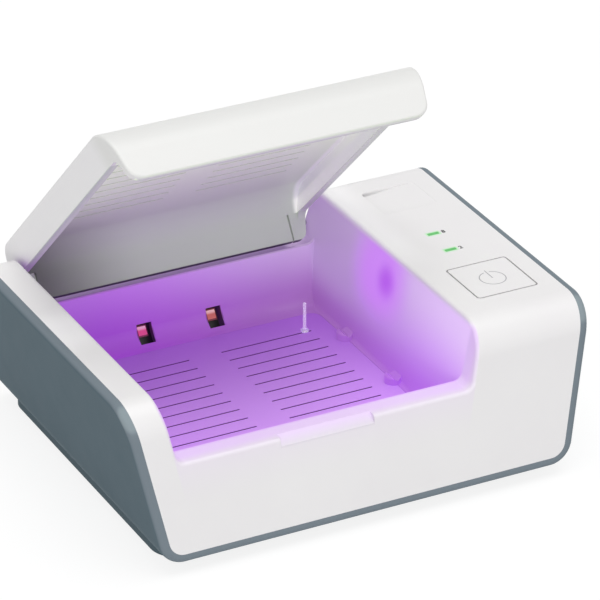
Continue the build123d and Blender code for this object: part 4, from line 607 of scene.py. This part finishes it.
def clear_plastic():
    """Clear moulded plastic, with a faint painted glow of violet-white light."""
    finish = Finish("clear_plastic", 0.08, Transmission_Weight=0.75, IOR=1.3)
    hue = finish.paint(finish.noise(3 * MM), colour(250, 244, 254), colour(240, 234, 248))
    finish.glow(hue, 0.12)
    return finish


def metal(name, light, dark, roughness, grain):
    """Metal with fine streaks of uneven gloss."""
    finish = Finish(name, roughness, Metallic=1.0)
    streaks = finish.noise(grain, detail=4.0)
    finish.paint(streaks, light, dark)
    finish.vary_roughness(streaks, roughness - 0.08, roughness + 0.1)
    return finish


def board_finish(name, mask, light):
    """Circuit board: solder mask with fine traces under it."""
    finish = Finish(name, 0.35)
    finish.paint(finish.noise(0.9 * MM, detail=4.0).rise(0.46, 0.54), mask, light)
    return finish


def dress_nodes():
    """Give every piece of the model its finish."""
    white = white_plastic()
    shell = slate_plastic("slate_shell", colour(91, 109, 118), colour(86, 104, 113))
    lid = lid_plastic()
    liner = liner_plastic()
    plinth = slate_plastic("slate_plinth", colour(93, 110, 118), colour(88, 105, 113))
    black = moulded("black_plastic", colour(30, 30, 33), colour(24, 24, 27), 0.5)
    rubber = moulded("foot_rubber", colour(38, 39, 42), colour(30, 31, 34), 0.85,
                     grain=0.6 * MM, relief=0.03 * MM)
    floor = floor_plastic()
    lamps = lamp_finish()
    green = green_light()
    clear = clear_plastic()
    screw = metal("screw_steel", colour(172, 174, 180), colour(140, 142, 148), 0.35, 0.5 * MM)
    pin = metal("pin_steel", colour(196, 198, 202), colour(168, 170, 176), 0.25, 0.4 * MM)
    inlet = metal("inlet_steel", colour(190, 190, 194), colour(160, 160, 166), 0.3, 0.5 * MM)
    bronze = metal("bearing_bronze", colour(190, 140, 84), colour(160, 112, 62), 0.4, 0.5 * MM)
    copper = metal("copper_winding", colour(196, 112, 70), colour(160, 82, 46), 0.35, 0.3 * MM)
    heater = metal("heater_metal", colour(186, 180, 170), colour(150, 144, 136), 0.5, 0.8 * MM)
    magnet = metal("magnet_metal", colour(180, 182, 186), colour(150, 152, 158), 0.3, 0.5 * MM)
    green_board = board_finish("green_board", colour(22, 92, 56), colour(28, 108, 66))
    black_board = board_finish("black_board", colour(22, 20, 26), colour(30, 27, 35))
    jacket = moulded("cable_jacket", colour(44, 44, 48), colour(36, 36, 40), 0.6)
    by_slot = {
        "white_plastic": white, "lid_plastic": lid, "liner_plastic": liner,
        "grey_plastic": shell, "base_plastic": plinth, "floor_plastic": floor,
        "clear_plastic": clear, "foot_rubber": rubber, "screw_steel": screw,
        "pin_steel": pin, "inlet_steel": inlet, "black_plastic": black,
        "green_board": green_board, "black_board": black_board, "green_light": green,
        "lamp_package": lamps, "bronze": bronze, "copper": copper,
        "heater_metal": heater, "magnet_metal": magnet, "cable_jacket": jacket,
    }
    for part in frame["record"]["subparts"]:
        data = nodes[part["node"]].data
        data.materials.clear()
        data.materials.append(by_slot[part["material_slot"]].material)


# ---------------------------------------------------------------- mesh helpers
def shell_from_grid(name, points, close_round, finish):
    """Mesh of a grid of points: rows along a path, columns round a closed profile.

    Each four neighbouring points make a face; the first and last rows are closed by a
    flat cap, or joined to each other where the path itself is closed.
    """
    rows, columns = points.shape[:2]
    index = np.arange(rows * columns).reshape(rows, columns)
    row_count = rows if close_round else rows - 1
    here = index[:row_count]
    there = index[(np.arange(row_count) + 1) % rows]
    quads = np.stack([here, np.roll(here, -1, 1), np.roll(there, -1, 1), there], -1)
    faces = quads.reshape(-1, 4).tolist()
    if not close_round:
        faces += [index[0][::-1].tolist(), index[-1].tolist()]
    data = bpy.data.meshes.new(name)
    data.from_pydata(points.reshape(-1, 3).tolist(), [], faces)
    data.materials.append(finish.material)
    piece = bpy.data.objects.new(name, data)
    bpy.context.scene.collection.objects.link(piece)
    return piece


INK_HEIGHT = 0.03 * MM
INK_EDGE = 0.25                # share of a printed line's height taken by its round edge


def ink_line(name, path, width, level, finish):
    """Printed line: a low crowned profile, width across and ink height up, along a level path.

    A point of the profile is path + normal * width * u / 2 + height * v, where (u, v) runs
    round the section and the normal is the path's direction turned by a right angle.
    """
    u = np.array([-1.0, 1.0, 1.0 - INK_EDGE, -1.0 + INK_EDGE])
    v = np.array([0.0, 0.0, 1.0, 1.0])
    run = np.gradient(path, axis=0)
    run = run / np.linalg.norm(run, axis=1)[:, None]
    normal = np.stack([-run[:, 1], run[:, 0]], 1)
    flat = path[:, None, :] + normal[:, None, :] * (width / 2 * u)[None, :, None]
    height = np.broadcast_to(level + INK_HEIGHT * v, flat.shape[:2])
    points = np.concatenate([flat, height[:, :, None]], 2)
    return shell_from_grid(name, points, False, finish)


# ---------------------------------------------------------------- printed marks
MARK_RADIUS = 3.18 * MM
MARK_WIDTH = 0.25 * MM
MARK_GAP = radians(12)         # half the ring's opening, towards the rear
MARK_SHIFT = (0.09 * MM, -0.33 * MM)
MARK_BAR_LENGTH = 4.1 * MM     # from the ring's middle towards the rear
RING_POINTS = 73
BAR_POINTS = 9
DIGIT_HEIGHT = 1.3 * MM
DIGIT_SIDE = 0.8 * MM          # from a status bar's end to its numeral
FONT_CAPITALS = 0.7            # a numeral's height as a share of the font's size
DIGIT_BOLD = 0.04 * MM         # how far its strokes are thickened


def power_mark(ink):
    """Ring with its gap to the rear and a short bar in the gap, printed on the button."""
    angle = np.linspace(pi / 2 + MARK_GAP, 5 * pi / 2 - MARK_GAP, RING_POINTS)
    centre = np.array([BUTTON_X, BUTTON_Y]) + MARK_SHIFT
    ring = centre + MARK_RADIUS * np.stack([np.cos(angle), np.sin(angle)], 1)
    bar_y = np.linspace(0, MARK_BAR_LENGTH, BAR_POINTS)
    bar = centre + np.stack([np.zeros_like(bar_y), bar_y], 1)
    for name, path in (("power_mark_ring", ring), ("power_mark_bar", bar)):
        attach(ink_line(name, path, MARK_WIDTH, BUTTON_Z, ink), "power_button")


def digit(name, text, x, y, ink):
    """One printed numeral on the panel, its lower left corner at x and y."""
    letters = bpy.data.curves.new(name, "FONT")
    letters.body = text
    letters.size = DIGIT_HEIGHT / FONT_CAPITALS
    letters.offset = DIGIT_BOLD
    letters.extrude = INK_HEIGHT / 2
    source = bpy.data.objects.new(name + "_source", letters)
    bpy.context.scene.collection.objects.link(source)
    bpy.context.view_layer.update()
    data = bpy.data.meshes.new_from_object(source)
    bpy.data.objects.remove(source)
    data.name = name
    data.transform(Matrix.Translation((x, y, PANEL_Z + INK_HEIGHT / 2)))
    data.materials.clear()
    data.materials.append(ink.material)
    piece = bpy.data.objects.new(name, data)
    bpy.context.scene.collection.objects.link(piece)
    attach(piece, "housing")


def print_marks():
    """All printed marks: the power mark and the two timer numerals."""
    power_mark(moulded("grey_ink", colour(176, 176, 179), colour(168, 168, 171), 0.6))
    dark = moulded("dark_ink", colour(44, 42, 46), colour(38, 36, 40), 0.6)
    for text, (x, y) in zip(("8", "2"), BARS):
        digit("timer_mark_" + text, text, x + BAR_HALF.x + DIGIT_SIDE, y - DIGIT_HEIGHT / 2, dark)


# ---------------------------------------------------------------- studio
FLOOR_HALF = 3.0
FLOOR_LOOK = 1.04              # the floor as the camera sees it in full light, 1 being white
FLOOR_SHADE = 0.2              # share of that look that a shadow can take
WORLD_STRENGTH = 0.54
LAMPS = (                      # name, place, size and power
    ("front_lamp", (-0.75, -1.28, 0.30), 0.8, 6.1),
    ("top_lamp", (0.06, -0.15, 1.4), 1.2, 8.3),
)


def studio_floor():
    """Pale floor: white to the camera, with the object's shadow kept."""
    ends = (-FLOOR_HALF, FLOOR_HALF)
    corners = [(x, y, 0.0) for y in ends for x in ends]
    data = bpy.data.meshes.new("studio_floor")
    data.from_pydata(corners, [], [(0, 1, 3, 2)])
    floor = bpy.data.objects.new("studio_floor", data)
    bpy.context.scene.collection.objects.link(floor)
    material = bpy.data.materials.new("studio_floor")
    material.use_nodes = True
    tree = material.node_tree
    tree.nodes.clear()
    new = tree.nodes.new
    out, light_path, seen = (new("ShaderNodeOutputMaterial"), new("ShaderNodeLightPath"),
                             new("ShaderNodeMixShader"))
    shade, give, both, bounce = (new("ShaderNodeBsdfDiffuse"), new("ShaderNodeEmission"),
                                 new("ShaderNodeAddShader"), new("ShaderNodeBsdfDiffuse"))
    shade.inputs["Color"].default_value = (FLOOR_SHADE, FLOOR_SHADE, FLOOR_SHADE, 1)
    give.inputs["Strength"].default_value = FLOOR_LOOK - FLOOR_SHADE
    bounce.inputs["Color"].default_value = colour(225, 225, 226)
    tree.links.new(shade.outputs[0], both.inputs[0])
    tree.links.new(give.outputs[0], both.inputs[1])
    tree.links.new(looked_at(tree, light_path), seen.inputs[0])
    tree.links.new(bounce.outputs[0], seen.inputs[1])
    tree.links.new(both.outputs[0], seen.inputs[2])
    tree.links.new(seen.outputs[0], out.inputs[0])
    data.materials.append(material)


def looked_at(tree, light_path):
    """1 for rays that come from the camera, a gloss or a clear piece."""
    first = Field(tree, light_path.outputs["Is Camera Ray"])
    second = Field(tree, light_path.outputs["Is Glossy Ray"])
    third = Field(tree, light_path.outputs["Is Transmission Ray"])
    return first.math("MAXIMUM", second).math("MAXIMUM", third).socket


def studio_world():
    """Even white surroundings: full white to the camera, softer as light."""
    world = bpy.data.worlds.new("studio")
    world.use_nodes = True
    bpy.context.scene.world = world
    tree = world.node_tree
    tree.nodes.clear()
    out = tree.nodes.new("ShaderNodeOutputWorld")
    light_path = tree.nodes.new("ShaderNodeLightPath")
    seen, fill, mixed = (tree.nodes.new("ShaderNodeBackground"), tree.nodes.new("ShaderNodeBackground"),
                         tree.nodes.new("ShaderNodeMixShader"))
    seen.inputs["Strength"].default_value = 1.0
    fill.inputs["Strength"].default_value = WORLD_STRENGTH
    for background in (seen, fill):
        background.inputs["Color"].default_value = (1, 1, 1, 1)
    tree.links.new(looked_at(tree, light_path), mixed.inputs[0])
    tree.links.new(fill.outputs[0], mixed.inputs[1])
    tree.links.new(seen.outputs[0], mixed.inputs[2])
    tree.links.new(mixed.outputs[0], out.inputs[0])


def studio_lamps():
    """Soft lamps, each aimed at the middle of the part."""
    for name, place, size, power in LAMPS:
        data = bpy.data.lights.new(name, "AREA")
        data.shape = "DISK"
        data.size = size
        data.energy = power
        lamp = bpy.data.objects.new(name, data)
        bpy.context.scene.collection.objects.link(lamp)
        lamp.location = place
        aim = Vector((0, 0, PANEL_Z)) - Vector(place)
        lamp.rotation_euler = aim.to_track_quat("-Z", "Y").to_euler()


# ---------------------------------------------------------------- putting it together
make_camera()
dress_nodes()
print_marks()
studio_floor()
studio_world()
studio_lamps()
bpy.context.scene.view_settings.view_transform = "Standard"
